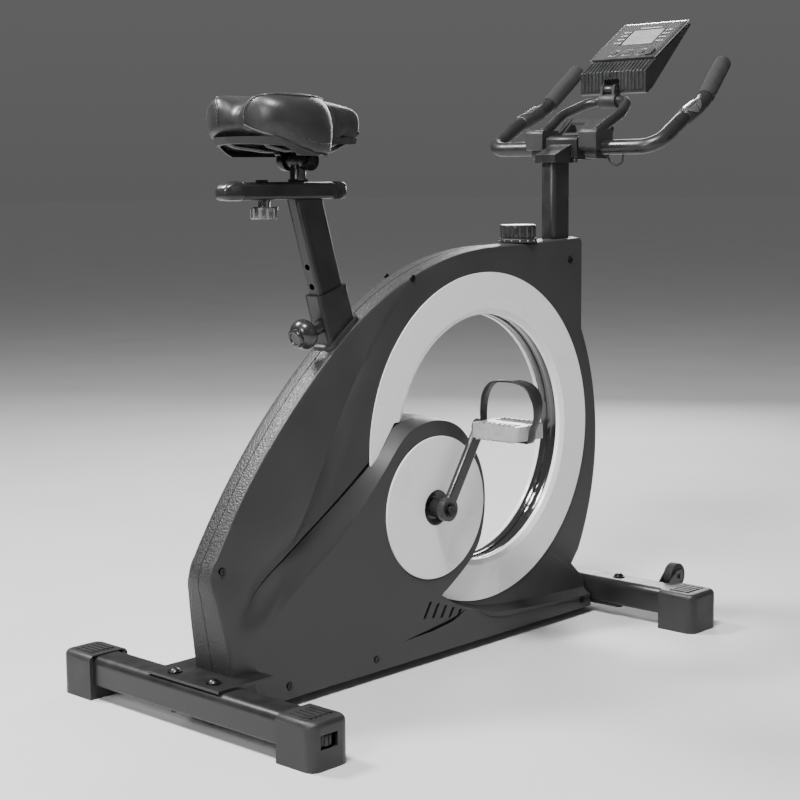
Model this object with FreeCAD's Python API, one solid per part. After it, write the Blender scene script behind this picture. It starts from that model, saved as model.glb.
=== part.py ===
import FreeCAD, Part
import math
import os

# Upright magnetic exercise bike with an open ring through its casing.
# Millimetres. +X is forward (towards the handlebar), +Y is the rider's left, +Z is up, floor at Z = 0.
# Pieces are shaped with X = 0 on the crank axis and moved back by ORIGIN_X when they are written,
# which puts the origin at the bottom centre of the whole bike.

V = FreeCAD.Vector

# Overall
REAR_X = -508.0
FRONT_X = 679.0
ORIGIN_X = (REAR_X + FRONT_X) / 2.0

# Casing
WALL = 3.0
PLATE_HALF = 28.0
SPINE_HALF = 25.0
SPINE_THICK = 8.0
COVER_HALF = 46.0
BOTTOM_Z = 12.0
NOSE_X = 424.0

# Ring
RING_X = 143.0
RING_Z = 354.0
RING_OUTER_R = 277.6
RING_INNER_R = 213.0
LINER_R = 208.0
LIP_END_Y = 17.0

# Crank and drive
CRANK_Z = 257.0
CRANK_ANGLE = 57.0
CRANK_LENGTH = 150.0
DISC_R = 117.0
DISH_R = 29.0
AXLE_R = 10.0
ARM_FACE_Y = 62.0
ARM_THICK = 14.0
PULLEY_R = 92.0
BELT_Y0 = 24.0
BELT_Y1 = 34.0
FLY_X = -235.0
FLY_Z = 180.0
FLY_R = 112.0
FLY_HALF = 11.0
MAGNET_PIVOT = (-152.0, 278.0)
MAGNET_PIN_R = 4.0
SMALL_PULLEY_R = 18.0
RUN_CLEAR = 0.06

# Pedals
PEDAL_Y = ARM_FACE_Y + ARM_THICK + 4.5
PEDAL_LENGTH = 96.0
PEDAL_WIDTH = 70.0
PEDAL_HEIGHT = 24.0

# Stabilisers
REAR_TUBE_X0 = -501.0
REAR_TUBE_X1 = -445.0
FRONT_TUBE_X0 = 425.0
FRONT_TUBE_X1 = 480.0
TUBE_Z0 = 22.0
TUBE_Z1 = 67.0
REAR_HALF = 280.0
FRONT_HALF = 270.0
CAP_LENGTH = 72.0
RIB_COUNT = 5
WHEEL_X = 509.0
WHEEL_Y = 165.0
WHEEL_Z = 72.0
WHEEL_R = 23.0

# Seat post, rail and saddle
SEAT_ANGLE = 16.5
SLEEVE_X = -199.0
SLEEVE_TOP_Z = 619.0
PIN_Z = 572.0
PIN_R = 4.5
PIN_GAP = 0.35
HOLE_PITCH = 30.0
SLIDE_CLEAR = 0.3
SLEEVE_L = 62.0
SLEEVE_W = 36.0
SLEEVE_R = 7.0
POST_L = 52.0
POST_W = 28.0
RAIL_X0 = -400.0
RAIL_X1 = -172.0
RAIL_Z0 = 757.0
RAIL_Z1 = 783.0
RAIL_HALF = 17.0
SADDLE_X = -310.0
SADDLE_REAR_R = 79.0
SADDLE_HALF = 92.0
NOSE_TIP_X = -131.0
RAIL_WIRE_Y = 23.4
RAIL_WIRE_R = 3.5
SADDLE_BASE_Z = 840.0
SKIRT_Z = 820.0
SADDLE_TOP_Z = 908.0

# Handlebar and console
BAR_X = 409.0
BAR_Z = 838.0
BAR_R = 13.0
GRIP_R = 14.6
HOOP_R = 9.0
POST_X = 369.0
CONSOLE_HALF = 72.0
CONSOLE_TILT = 33.0
KNOB_X = 265.0
KNOB_R = 31.0


def box(x0, x1, y0, y1, z0, z1):
    return Part.makeBox(x1 - x0, y1 - y0, z1 - z0, V(x0, y0, z0))


def soft_box(x0, x1, y0, y1, z0, z1, radius, along):
    solid = box(x0, x1, y0, y1, z0, z1)
    runs = [(e, (e.Vertexes[1].Point - e.Vertexes[0].Point).normalize()) for e in solid.Edges]
    picked = [e for e, way in runs if abs(way.dot(along)) > 0.9]
    return solid.makeFillet(radius, picked)


def prism(points, y0, y1):
    corners = [V(x, y0, z) for x, z in points]
    return Part.Face(Part.makePolygon(corners + corners[:1])).extrude(V(0, y1 - y0, 0))


def disc_y(x, z, radius, y0, y1):
    return Part.makeCylinder(radius, y1 - y0, V(x, y0, z), V(0, 1, 0))


def ring_y(x, z, outer, inner, y0, y1):
    return disc_y(x, z, outer, y0, y1).cut(disc_y(x, z, inner, y0 - 1, y1 + 1))


def post_z(x, y, radius, z0, z1):
    return Part.makeCylinder(radius, z1 - z0, V(x, y, z0), V(0, 0, 1))


def rod(start, end, radius):
    return Part.makeCylinder(radius, (end - start).Length, start, end - start)


def fuse(shapes):
    return shapes[0].multiFuse(shapes[1:]).removeSplitter() if len(shapes) > 1 else shapes[0]


def mirrored(shape):
    return shape.mirror(V(0, 0, 0), V(0, 1, 0))


def turned(shape, point, axis, angle):
    copy = shape.copy()
    copy.rotate(point, axis, angle)
    return copy


def bent_path(points, radii):
    """Wire of straight runs joined by tangent arcs, one radius for each inner point."""
    edges = []
    start = points[0]
    for i in range(1, len(points) - 1):
        back = (points[i - 1] - points[i]).normalize()
        ahead = (points[i + 1] - points[i]).normalize()
        half_turn = (math.pi - back.getAngle(ahead)) / 2.0
        reach = radii[i - 1] * math.tan(half_turn)
        first = points[i] + back * reach
        last = points[i] + ahead * reach
        inward = (back + ahead).normalize()
        middle = points[i] + inward * (radii[i - 1] / math.cos(half_turn) - radii[i - 1])
        edges.append(Part.LineSegment(start, first).toShape())
        edges.append(Part.Arc(first, middle, last).toShape())
        start = last
    edges.append(Part.LineSegment(start, points[-1]).toShape())
    return Part.Wire(edges)


def pipe(points, radii, radius, inner=0.0):
    path = bent_path(points, radii)
    direction = points[1] - points[0]
    solid = Part.Wire(path).makePipeShell([Part.Wire(Part.makeCircle(radius, points[0], direction))], True, False)
    if inner > 0.0:
        solid = solid.cut(path.makePipeShell([Part.Wire(Part.makeCircle(inner, points[0], direction))], True, False))
    return solid


# ---- casing outline -------------------------------------------------------------------------

REAR_FOOT = (-428.0, BOTTOM_Z)
REAR_LOW = (-459.0, 190.0)
REAR_CORNER = (-461.5, 216.0)
REAR_HIGH = (-450.0, 243.0)
BACK_MID = (-335.0, 403.0)
BACK_TOP = (-216.0, 519.0)
ARCH_MID = (-35.0, 631.0)
ARCH_END = (200.0, 673.0)
TOP_FRONT = (397.0, 681.0)
TOP_ROUND = (408.0, 678.0)
FRONT_TOP = (411.0, 668.0)
FRONT_STEP = (411.0, 520.0)
FRONT_BULGE = (456.0, 330.0)
FRONT_LOW = (406.0, 118.0)
ANKLE = (386.0, 95.0)
TOE_TOP = (416.0, 68.0)
TOE = (NOSE_X, 56.0)
FRONT_FOOT = (NOSE_X, BOTTOM_Z)


def outline(inset):
    """Closed side outline of the casing, moved inwards by inset."""
    def at(point):
        return V(point[0], 0, point[1])

    edges = [
        Part.LineSegment(at(REAR_FOOT), at(REAR_LOW)).toShape(),
        Part.Arc(at(REAR_LOW), at(REAR_CORNER), at(REAR_HIGH)).toShape(),
        Part.Arc(at(REAR_HIGH), at(BACK_MID), at(BACK_TOP)).toShape(),
        Part.Arc(at(BACK_TOP), at(ARCH_MID), at(ARCH_END)).toShape(),
        Part.LineSegment(at(ARCH_END), at(TOP_FRONT)).toShape(),
        Part.Arc(at(TOP_FRONT), at(TOP_ROUND), at(FRONT_TOP)).toShape(),
        Part.LineSegment(at(FRONT_TOP), at(FRONT_STEP)).toShape(),
        Part.Arc(at(FRONT_STEP), at(FRONT_BULGE), at(FRONT_LOW)).toShape(),
        Part.LineSegment(at(FRONT_LOW), at(ANKLE)).toShape(),
        Part.LineSegment(at(ANKLE), at(TOE_TOP)).toShape(),
        Part.LineSegment(at(TOE_TOP), at(TOE)).toShape(),
        Part.LineSegment(at(TOE), at(FRONT_FOOT)).toShape(),
        Part.LineSegment(at(FRONT_FOOT), at(REAR_FOOT)).toShape(),
    ]
    wire = Part.Wire(edges)
    if inset == 0.0:
        return wire
    return wire.makeOffset2D(-inset)


def slab(inset, y0, y1):
    face = Part.Face(outline(inset))
    face.translate(V(0, y0, 0))
    return face.extrude(V(0, y1 - y0, 0))


# Lower cover: where it leaves the side plate (far) and where its flat face begins (near)
COVER_FAR = [
    (-425.0, 14.0), (-436.0, 84.0), (-442.0, 122.0), (-378.0, 172.0), (-287.0, 240.0), (-201.0, 296.0),
    (-121.0, 352.0), (-81.0, 408.0), (-36.0, 406.0), (14.0, 403.0), (64.0, 385.0), (106.0, 340.0),
    (124.0, 290.0), (126.0, 235.0), (112.0, 182.0), (78.0, 145.0), (17.0, 112.0), (60.0, 86.0),
    (109.0, 72.0), (161.0, 62.0), (285.0, 52.0), (420.0, 46.0), (NOSE_X, 14.0),
]
COVER_NEAR = [
    (-400.0, 14.0), (-398.0, 60.0), (-385.0, 112.0), (-335.0, 160.0), (-280.0, 200.0), (-219.0, 240.0),
    (-140.0, 312.0), (-76.0, 378.0), (-36.0, 396.0), (11.0, 399.0), (60.0, 381.0), (100.0, 335.0),
    (119.0, 288.0), (121.0, 235.0), (107.0, 184.0), (74.0, 148.0), (12.0, 108.0), (62.0, 80.0),
    (109.0, 64.0), (161.0, 52.0), (285.0, 42.0), (416.0, 36.0), (420.0, 14.0),
]


def lower_cover(inset):
    """Raised lower cover and chain-case lobe on the right side, shrunk by inset."""
    def shrink(points):
        face = Part.Face(Part.makePolygon([V(x, 0, z) for x, z in points + points[:1]]))
        if inset == 0.0:
            return face.OuterWire
        return face.OuterWire.makeOffset2D(-inset, 2)

    far = shrink(COVER_FAR)
    near = shrink(COVER_NEAR)
    far.translate(V(0, -(PLATE_HALF - 2.0), 0))
    near.translate(V(0, -(COVER_HALF - inset), 0))
    raised = Part.makeLoft([far, near], True, True)
    inner = Part.Face(shrink(COVER_FAR)).extrude(V(0, -(PLATE_HALF - 2.0), 0))
    return inner.fuse(raised)


# Leaf-shaped bulge beside the spine: point on the outline, distance to the crest, height of the crest
LEAF = [
    ((-55.0, 622.0), 8.0, 28.5), ((-122.0, 590.0), 32.0, 33.0), ((-231.0, 505.0), 59.0, 40.0),
    ((-320.0, 420.0), 92.0, 45.0), ((-396.0, 320.0), 110.0, 46.0), ((-450.0, 243.0), 124.0, 46.0),
    ((-459.0, 185.0), 95.0, 46.0), ((-447.0, 110.0), 70.0, 46.0), ((-430.0, 20.0), 45.0, 46.0),
]
LEAF_WAY = V(0.71, 0, -0.704)
LEAF_RUN = 56.0


def leaf(inset):
    sections = []
    low = -(SPINE_HALF - 5.0)
    for edge, width, height in LEAF:
        start = V(edge[0], 0, edge[1]) + LEAF_WAY * inset
        crest = V(edge[0], 0, edge[1]) + LEAF_WAY * width
        end = crest + LEAF_WAY * (LEAF_RUN - inset)
        corners = [
            V(start.x, low, start.z), V(start.x, -(SPINE_HALF + 0.5 - inset), start.z),
            V(crest.x, -(height - inset), crest.z), V(end.x, -(PLATE_HALF - 0.5 - inset), end.z),
            V(end.x, low, end.z),
        ]
        sections.append(Part.makePolygon(corners + corners[:1]))
    return Part.makeLoft(sections, True, True)


def spine_zone():
    """Side region whose rim the spine strip covers: the rear, the arch and the top."""
    corners = [(-520, 6), (-426, 6), (-416, 40), (-400, 120), (0, 500), (500, 640), (500, 700), (-520, 700)]
    return prism(corners, -40, 40)


def spine_band(y_half, thick):
    band = slab(0.0, -y_half, y_half).cut(slab(thick, -y_half - 1, y_half + 1))
    return band.common(spine_zone())


def seat_axis_point(z):
    return V(SLEEVE_X - (z - SLEEVE_TOP_Z) * math.tan(math.radians(SEAT_ANGLE)), 0, z)


def along_seat(shape):
    """Moves a shape built upright on X = 0 with its reference at Z = SLEEVE_TOP_Z onto the seat-post axis."""
    moved = shape.copy()
    moved.translate(V(SLEEVE_X, 0, 0))
    return turned(moved, V(SLEEVE_X, 0, SLEEVE_TOP_Z), V(0, 1, 0), -SEAT_ANGLE)


def casing_outer(inset):
    """Right half of the casing as a solid, out to its surface less inset."""
    plate = slab(inset, -(PLATE_HALF - inset), 0.0)
    body = plate.fuse(leaf(inset).common(slab(inset, -COVER_HALF - 2, 0.0)))
    body = body.cut(disc_y(RING_X, RING_Z, RING_INNER_R + inset, -COVER_HALF - 5, 1))
    body = body.fuse(lower_cover(inset).common(slab(inset, -COVER_HALF - 2, 0.0)))
    return body.cut(spine_band(SPINE_HALF + inset, SPINE_THICK + inset))


def casing_cuts():
    """Openings through the casing for the tubes, crank, stabiliser plates and trim."""
    cuts = [
        disc_y(0, CRANK_Z, DISH_R + 1.0, -COVER_HALF - 2, COVER_HALF + 2),
        disc_y(0, CRANK_Z, DISC_R + 1.0, -COVER_HALF - 2, -(COVER_HALF - 2.0)),
        disc_y(0, CRANK_Z, DISC_R + 1.0, COVER_HALF - 2.0, COVER_HALF + 2),
        box(POST_X - 26.5, POST_X + 26.5, -16.5, 16.5, 640, 700),
        post_z(KNOB_X, 0, 8.0, 640, 700),
        along_seat(box(-SLEEVE_L / 2 - 0.5, SLEEVE_L / 2 + 0.5, -SLEEVE_W / 2 - 0.5, SLEEVE_W / 2 + 0.5, 440, 640)),
        box(-520, -390, -82, 82, TUBE_Z1 - 1.0, TUBE_Z1 + 6.0),
        box(410, 440, -110, 110, 0, TUBE_Z0 + 1.0),
        box(-520, -440, -300, 300, TUBE_Z0 - 1, TUBE_Z1 + 1),
    ]
    return fuse(cuts)


def trim_seat():
    return ring_y(RING_X, RING_Z, RING_OUTER_R + 0.3, RING_INNER_R - 1.0, -PLATE_HALF - 1, -(PLATE_HALF - 2.0))


def casing_half():
    outer = casing_outer(0.0)
    hollow = casing_outer(WALL)
    shell = outer.cut(hollow).cut(trim_seat().cut(lower_cover(0.0))).cut(casing_cuts())
    return largest_solid(shell)


def largest_solid(shape):
    return max(shape.Solids, key=lambda s: s.Volume)


def spine_cover():
    band = spine_band(SPINE_HALF, SPINE_THICK)
    return largest_solid(band.cut(casing_cuts()))


def ring_trim():
    """White face ring on the right side, with a bevelled inner edge and a lip that turns into the opening."""
    front = -PLATE_HALF - 1.5
    face = ring_y(RING_X, RING_Z, RING_OUTER_R, RING_INNER_R - 0.3, front, -(PLATE_HALF - 2.0))
    lip = ring_y(RING_X, RING_Z, RING_INNER_R - 0.2, LINER_R, front, -LIP_END_Y)
    bevel = Part.makeCone(LINER_R + 9.0, LINER_R - 1.0, 5.0, V(RING_X, front - 0.01, RING_Z), V(0, 1, 0))
    return largest_solid(fuse([face, lip]).cut(bevel).cut(lower_cover(0.0)).cut(casing_cuts()))


def ring_liner():
    """Black band inside the ring opening, grooved along its middle."""
    half = LIP_END_Y - 0.1
    band = ring_y(RING_X, RING_Z, RING_INNER_R - 0.2, LINER_R + 0.6, -half, half)
    groove = ring_y(RING_X, RING_Z, LINER_R + 2.6, LINER_R - 1.0, -4.0, 4.0)
    cover = lower_cover(0.0)
    return largest_solid(band.cut(groove).cut(cover).cut(mirrored(cover)))


# ---- frame ----------------------------------------------------------------------------------

def leg_core(side):
    """Inside of the front leg's folded box section."""
    face = Part.Face(Part.makePolygon([V(x, -20, z) for x, z in side + side[:1]]).makeOffset2D(-2.5, 2))
    return face.extrude(V(0, 40, 0)).common(box(300, 500, -20, 20, 0, 641.5))


def base_frame():
    sleeve = soft_box(-SLEEVE_L / 2, SLEEVE_L / 2, -SLEEVE_W / 2, SLEEVE_W / 2, 20, SLEEVE_TOP_Z, SLEEVE_R,
                      V(0, 0, 1))
    bore = box(-POST_L / 2 - 0.5, POST_L / 2 + 0.5, -POST_W / 2 - 0.5, POST_W / 2 + 0.5, 90, SLEEVE_TOP_Z + 1)
    seat_tube = along_seat(sleeve).cut(box(-300, 200, -50, 50, -100, 30))
    beam = box(-412, 412, -22, 22, 18, 60).cut(box(-409, 409, -19, 19, 24, 57))
    leg_side = [(344, 50), (380, 58), (380, 95), (396, 122), (424, 215), (430, 310), (424, 420), (393, 560),
                (393, 640), (345, 640), (345, 560), (384, 420), (390, 310), (384, 225), (360, 128), (344, 95)]
    front_leg = prism(leg_side, -14, 14).cut(leg_core(leg_side).common(box(300, 500, -11.5, 11.5, 0, 700)))
    shell = disc_y(0, CRANK_Z, 21.0, -22, 22)
    strut = prism([(-115, 300), (0, 270), (0, 244), (-95, 215)], -12, 12)
    rear_web = box(-412, -394, -22, 22, 58, TUBE_Z1 + 4.0)
    rear_plate = box(-498, -394, -80, 80, TUBE_Z1 + 0.3, TUBE_Z1 + 4.3)
    front_plate = box(370, 478, -39, 39, TUBE_Z0 - 4.3, TUBE_Z0 - 0.3)
    front_plate = front_plate.fuse(box(426, 478, -100, 100, TUBE_Z0 - 4.3, TUBE_Z0 - 0.3))
    forks = []
    for side in (-1, 1):
        y0 = 15.0 if side > 0 else -20.0
        forks.append(prism([(-262, 50), (-208, 50), (-222, 205), (-248, 205)], y0, y0 + 5.0))
    lug = box(MAGNET_PIVOT[0] - 9, MAGNET_PIVOT[0] + 40, -12, 12, MAGNET_PIVOT[1] - 9, MAGNET_PIVOT[1] + 9)
    frame = fuse([seat_tube, beam, front_leg, shell, strut, rear_web, rear_plate, front_plate, lug, pin_bush()]
                 + forks)
    frame = frame.cut(box(POST_X - 22.8, POST_X + 22.8, -12.8, 12.8, 560, 645))
    frame = frame.cut(along_seat(bore)).cut(disc_y(0, CRANK_Z, 16.0, -30, 30))
    frame = frame.cut(disc_y(FLY_X, FLY_Z, 6.0, -40, 40))
    frame = frame.cut(pin_hole()).cut(magnet_pin())
    for y in (-43.0, 43.0):
        frame = frame.cut(post_z(-476, y, 4.2, 60, 80))
    for y in (-84.0, 84.0):
        frame = frame.cut(post_z(452, y, 4.2, 0, 30))
    return frame


def pin_direction():
    angle = math.radians(SEAT_ANGLE)
    return V(-math.cos(angle), 0, -math.sin(angle))


def pin_hole():
    centre = seat_axis_point(PIN_Z)
    return rod(centre + pin_direction() * (POST_L / 2 - 2), centre + pin_direction() * 60, PIN_R + RUN_CLEAR)


def pop_pin():
    """Spring pin with its round pull knob, on the rear of the seat sleeve."""
    centre = seat_axis_point(PIN_Z)
    way = pin_direction()
    face = SLEEVE_L / 2
    pin = rod(centre + way * (POST_L / 2 + PIN_GAP), centre + way * (face + 22), PIN_R)
    knob = rod(centre + way * (face + 18), centre + way * (face + 44), 23.0)
    knob = knob.makeFillet(6.0, [e for e in knob.Edges if e.Length > 100])
    boss = rod(centre + way * (face + 42), centre + way * (face + 54), 11.0)
    boss = boss.makeFillet(3.0, [e for e in boss.Edges if e.Length > 60][:1])
    return fuse([pin, knob, boss])


def pin_bush():
    """Threaded bush on the sleeve that the spring pin runs in."""
    centre = seat_axis_point(PIN_Z)
    way = pin_direction()
    body = rod(centre + way * (SLEEVE_L / 2 - 2.0), centre + way * (SLEEVE_L / 2 + 16), 11.0)
    return body.cut(rod(centre, centre + way * 80, PIN_R + RUN_CLEAR))


def seat_collar():
    """Rubber collar where the seat sleeve leaves the spine."""
    ring = soft_box(-SLEEVE_L / 2 - 6, SLEEVE_L / 2 + 6, -SLEEVE_W / 2 - 6, SLEEVE_W / 2 + 6, 420, SLEEVE_TOP_Z,
                    SLEEVE_R + 5, V(0, 0, 1))
    hole = soft_box(-SLEEVE_L / 2 - 0.2, SLEEVE_L / 2 + 0.2, -SLEEVE_W / 2 - 0.2, SLEEVE_W / 2 + 0.2, 400, 700,
                    SLEEVE_R, V(0, 0, 1))
    skin = slab(-7.0, -60, 60).cut(slab(-0.3, -61, 61))
    return largest_solid(along_seat(ring.cut(hole)).common(skin))


def handlebar_post():
    tube = soft_box(POST_X - 25, POST_X + 25, -15, 15, 641, 812, 9.0, V(0, 0, 1))
    core = soft_box(POST_X - 22.5, POST_X + 22.5, -12.5, 12.5, 600, 830, 7.0, V(0, 0, 1))
    return tube.cut(core)


def stabiliser(x0, x1, half):
    tube = box(x0, x1, -half, half, TUBE_Z0, TUBE_Z1)
    upper = [e for e in tube.Edges if abs(e.Vertexes[1].Y - e.Vertexes[0].Y) > 50 and e.Vertexes[0].Z > 50]
    tube = tube.makeFillet(13.0, upper)
    lower = [e for e in tube.Edges if abs(e.Vertexes[1].Y - e.Vertexes[0].Y) > 50 and e.Vertexes[0].Z < TUBE_Z0 + 1]
    tube = tube.makeFillet(4.0, lower)
    hollow = box(x0 + 2, x1 - 2, -half - 1, half + 1, TUBE_Z0 + 2, TUBE_Z1 - 2)
    rounded = [e for e in hollow.Edges if abs(e.Vertexes[1].Y - e.Vertexes[0].Y) > 50 and e.Vertexes[0].Z > 50]
    return tube.cut(hollow.makeFillet(11.0, rounded))


def rear_stabiliser():
    tube = stabiliser(REAR_TUBE_X0, REAR_TUBE_X1, REAR_HALF - CAP_LENGTH + 20)
    for y in (-43.0, 43.0):
        tube = tube.cut(post_z(-476, y, 4.2, 0, 90))
    return tube


def front_stabiliser():
    tube = stabiliser(FRONT_TUBE_X0, FRONT_TUBE_X1, FRONT_HALF - CAP_LENGTH + 20)
    for y in (-84.0, 84.0):
        tube = tube.cut(post_z(452, y, 4.2, 0, 90))
    arms = []
    for y in (-WHEEL_Y, WHEEL_Y):
        for offset in (-12.5, 9.5):
            plate = prism([(474, 30), (474, 60), (500, 84), (518, 84), (522, 66), (500, 56), (482, 30)],
                          y + offset, y + offset + 3.0)
            arms.append(plate.cut(disc_y(WHEEL_X, WHEEL_Z, 4.0, y - 30, y + 30)))
        arms.append(disc_y(WHEEL_X, WHEEL_Z, 4.0, y - 15, y + 15))
    return fuse([tube] + arms)


def end_cap(x0, x1, tube_x0, tube_x1, half):
    """Right-hand end cap with top ribs and a socket for the tube."""
    cap = box(x0, x1, -half, -half + CAP_LENGTH, 0, 69)
    end = [e for e in cap.Edges if abs(e.Vertexes[0].Y + half) < 0.1 and abs(e.Vertexes[1].Y + half) < 0.1
           and abs(e.Vertexes[0].X - e.Vertexes[1].X) < 0.1]
    cap = cap.makeFillet(16.0, end)
    top = [e for e in cap.Edges if min(v.Z for v in e.Vertexes) > 68.9]
    top = [e for e in top if max(v.Y for v in e.Vertexes) < -half + CAP_LENGTH - 0.1 or e.Length > CAP_LENGTH / 2
           and abs(e.Vertexes[0].X - e.Vertexes[1].X) < 0.1]
    cap = cap.makeFillet(9.0, top)
    socket = box(tube_x0 - 0.2, tube_x1 + 0.2, -half + CAP_LENGTH - 21, -half + CAP_LENGTH + 1, TUBE_Z0 - 0.2,
                 TUBE_Z1 + 0.2)
    hollow = box(x0 + 4, x1 - 4, -half + 6, -half + CAP_LENGTH - 24, -1, 50)
    return cap.cut(socket).cut(hollow)


def cap_ribs(x0, x1, half):
    pitch = (x1 - x0 - 26.0) / RIB_COUNT
    ribs = []
    for i in range(RIB_COUNT):
        x = x0 + 13.0 + pitch * (i + 0.5)
        ribs.append(box(x - 3.0, x + 3.0, -half + 20, -half + 58, 68, 70.5))
    return ribs


def rear_cap():
    cap = end_cap(REAR_X, REAR_X + 72, REAR_TUBE_X0, REAR_TUBE_X1, REAR_HALF)
    window = box(-492, -460, -REAR_HALF - 1, -REAR_HALF + 10, 30, 50)
    well = post_z(-476, -REAR_HALF + 17, 16.2, -1, 51)
    return fuse([cap.cut(window).cut(well)] + cap_ribs(REAR_X, REAR_X + 72, REAR_HALF))


def front_cap():
    cap = end_cap(411, 489, FRONT_TUBE_X0, FRONT_TUBE_X1, FRONT_HALF)
    return fuse([cap] + cap_ribs(411, 489, FRONT_HALF))


def leveller():
    """Thumb wheel with its screw foot, turned through the window in the cap's end."""
    y = -REAR_HALF + 17
    wheel = post_z(-476, y, 15.5, 33, 47)
    notches = [turned(box(-478, -474, y - 17.5, y - 14.0, 32, 48), V(-476, y, 0), V(0, 0, 1), 30.0 * k)
               for k in range(12)]
    stem = post_z(-476, y, 5.0, 5.0, 33.5)
    foot = post_z(-476, y, 13.0, 0.5, 6.0)
    return fuse([wheel.cut(fuse(notches)), stem, foot])


def stabiliser_bolts():
    bolts = []
    for x, y, z in ((-476, -43, 71.3), (-476, 43, 71.3), (452, -84, 67.0), (452, 84, 67.0)):
        washer = post_z(x, y, 11.0, z + 0.1, z + 2.1)
        dome = Part.makeSphere(11.0, V(x, y, z - 4.0)).common(box(x - 12, x + 12, y - 12, y + 12, z + 2.1, z + 20))
        shank = post_z(x, y, 4.0, 12, z + 2.2)
        nut = post_z(x, y, 7.5, 12, TUBE_Z0 - 4.5 if x > 0 else TUBE_Z0 - 0.2)
        bolts.append(fuse([washer, dome, shank, nut]))
    return bolts


SCREW_SPOTS = [(-442.0, 226.0, PLATE_HALF + 0.6), (-330.0, 34.0, COVER_HALF), (-142.0, 34.0, COVER_HALF),
               (-33.0, 630.0, PLATE_HALF), (392.0, 30.0, COVER_HALF), (376.0, 643.0, PLATE_HALF)]


def housing_screws():
    screws = []
    for x, z, y in SCREW_SPOTS:
        for side in (-1, 1):
            y0 = side * y if side > 0 else -y - 2.0
            head = disc_y(x, z, 5.0, y0, y0 + 2.0)
            screws.append(head.cut(box(x - 0.8, x + 0.8, y0 - 9 if side < 0 else y0 + 1.0,
                                       y0 + 1.0 if side < 0 else y0 + 9, z - 3, z + 3)))
    return screws


# ---- crank and drive ------------------------------------------------------------------------

def crank_axle():
    axle = disc_y(0, CRANK_Z, AXLE_R, -(ARM_FACE_Y + ARM_THICK + 1), ARM_FACE_Y + ARM_THICK + 1)
    pieces = [axle]
    for side in (-1, 1):
        y0 = side * (ARM_FACE_Y + ARM_THICK + 0.5)
        nut = Part.makeCylinder(8.5, 6.0, V(0, y0, CRANK_Z), V(0, side, 0))
        cap = Part.makeCylinder(11.5, 2.0, V(0, y0, CRANK_Z), V(0, side, 0))
        pieces += [nut, cap]
    return fuse(pieces)


def pedal_centre(side):
    angle = math.radians(CRANK_ANGLE + (0.0 if side < 0 else 180.0))
    return V(CRANK_LENGTH * math.cos(angle), 0, CRANK_Z + CRANK_LENGTH * math.sin(angle))


def crank_arm(side):
    """Forged arm that steps outwards from the axle to the pedal eye."""
    end = pedal_centre(side)
    y0 = side * (ARM_FACE_Y + ARM_THICK / 2)
    hub = disc_y(0, CRANK_Z, 19.0, y0 - ARM_THICK / 2, y0 + ARM_THICK / 2)
    eye = disc_y(end.x, end.z, 13.5, y0 - 6.0, y0 + 6.0)
    blade = box(10.0, CRANK_LENGTH - 9.0, y0 - 5.5, y0 + 5.5, -11.5, 11.5)
    blade = blade.makeFillet(4.0, [e for e in blade.Edges if abs(e.Vertexes[1].X - e.Vertexes[0].X) > 50])
    blade = turned(blade, V(0, 0, 0), V(0, 1, 0), -CRANK_ANGLE if side < 0 else -CRANK_ANGLE - 180.0)
    blade.translate(V(0, 0, CRANK_Z))
    dish = hub_dish() if side < 0 else mirrored(hub_dish())
    arm = fuse([hub, eye, blade, dish])
    arm = arm.cut(disc_y(0, CRANK_Z, AXLE_R + 0.02, -120, 120))
    return arm.cut(disc_y(end.x, end.z, 6.02, -120, 120))


def pedal_spindles():
    pins = []
    for side in (-1, 1):
        end = pedal_centre(side)
        start = side * (ARM_FACE_Y + 1.0)
        pins.append(Part.makeCylinder(6.0, ARM_THICK + PEDAL_LENGTH - 6.0, V(end.x, start, end.z), V(0, side, 0)))
    return Part.makeCompound(pins)


def crank_pulley():
    rim = ring_y(0, CRANK_Z, PULLEY_R, PULLEY_R - 8, BELT_Y0 - 2, BELT_Y1 + 2)
    rim = rim.cut(ring_y(0, CRANK_Z, PULLEY_R + 1, PULLEY_R - 2.5, BELT_Y0, BELT_Y1))
    web = ring_y(0, CRANK_Z, PULLEY_R - 7, 20, 27, 31)
    hub = ring_y(0, CRANK_Z, 22, AXLE_R + 0.02, 24, 38)
    wheel = fuse([rim, web, hub])
    for k in range(6):
        angle = math.radians(60.0 * k)
        wheel = wheel.cut(disc_y(54 * math.cos(angle), CRANK_Z + 54 * math.sin(angle), 18, 20, 40))
    return wheel


def crank_disc():
    """White cover disc on the right, sitting in the lobe's shallow pocket."""
    disc = ring_y(0, CRANK_Z, DISC_R, DISH_R + 0.3, -(COVER_HALF + 1.5), -(COVER_HALF - 1.5))
    return disc.makeFillet(1.2, [e for e in disc.Edges if e.Length > 600 and e.Vertexes[0].Y < -COVER_HALF])


def hub_dish():
    """Black dished hub on the right that fills the middle of the disc and reaches out to the crank arm."""
    rim = -(COVER_HALF + 1.0)
    plate = disc_y(0, CRANK_Z, DISH_R, rim, rim + 8.0)
    hollow = Part.makeCone(DISH_R - 2.0, 19.0, 6.0, V(0, rim - 0.01, CRANK_Z), V(0, 1, 0))
    sleeve = disc_y(0, CRANK_Z, 15.5, -(ARM_FACE_Y + 1.0), rim + 7.0)
    return fuse([plate.cut(hollow), sleeve])


def bearings():
    rings = []
    for y in (-21.0, 12.0):
        rings.append(ring_y(0, CRANK_Z, 15.98, AXLE_R + RUN_CLEAR, y, y + 9.0))
    return Part.makeCompound(rings)


def flywheel_axle():
    axle = disc_y(FLY_X, FLY_Z, 5.95, -28, 38)
    nuts = [disc_y(FLY_X, FLY_Z, 9.0, -26.5, -20.2)]
    return fuse([axle] + nuts)


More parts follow.
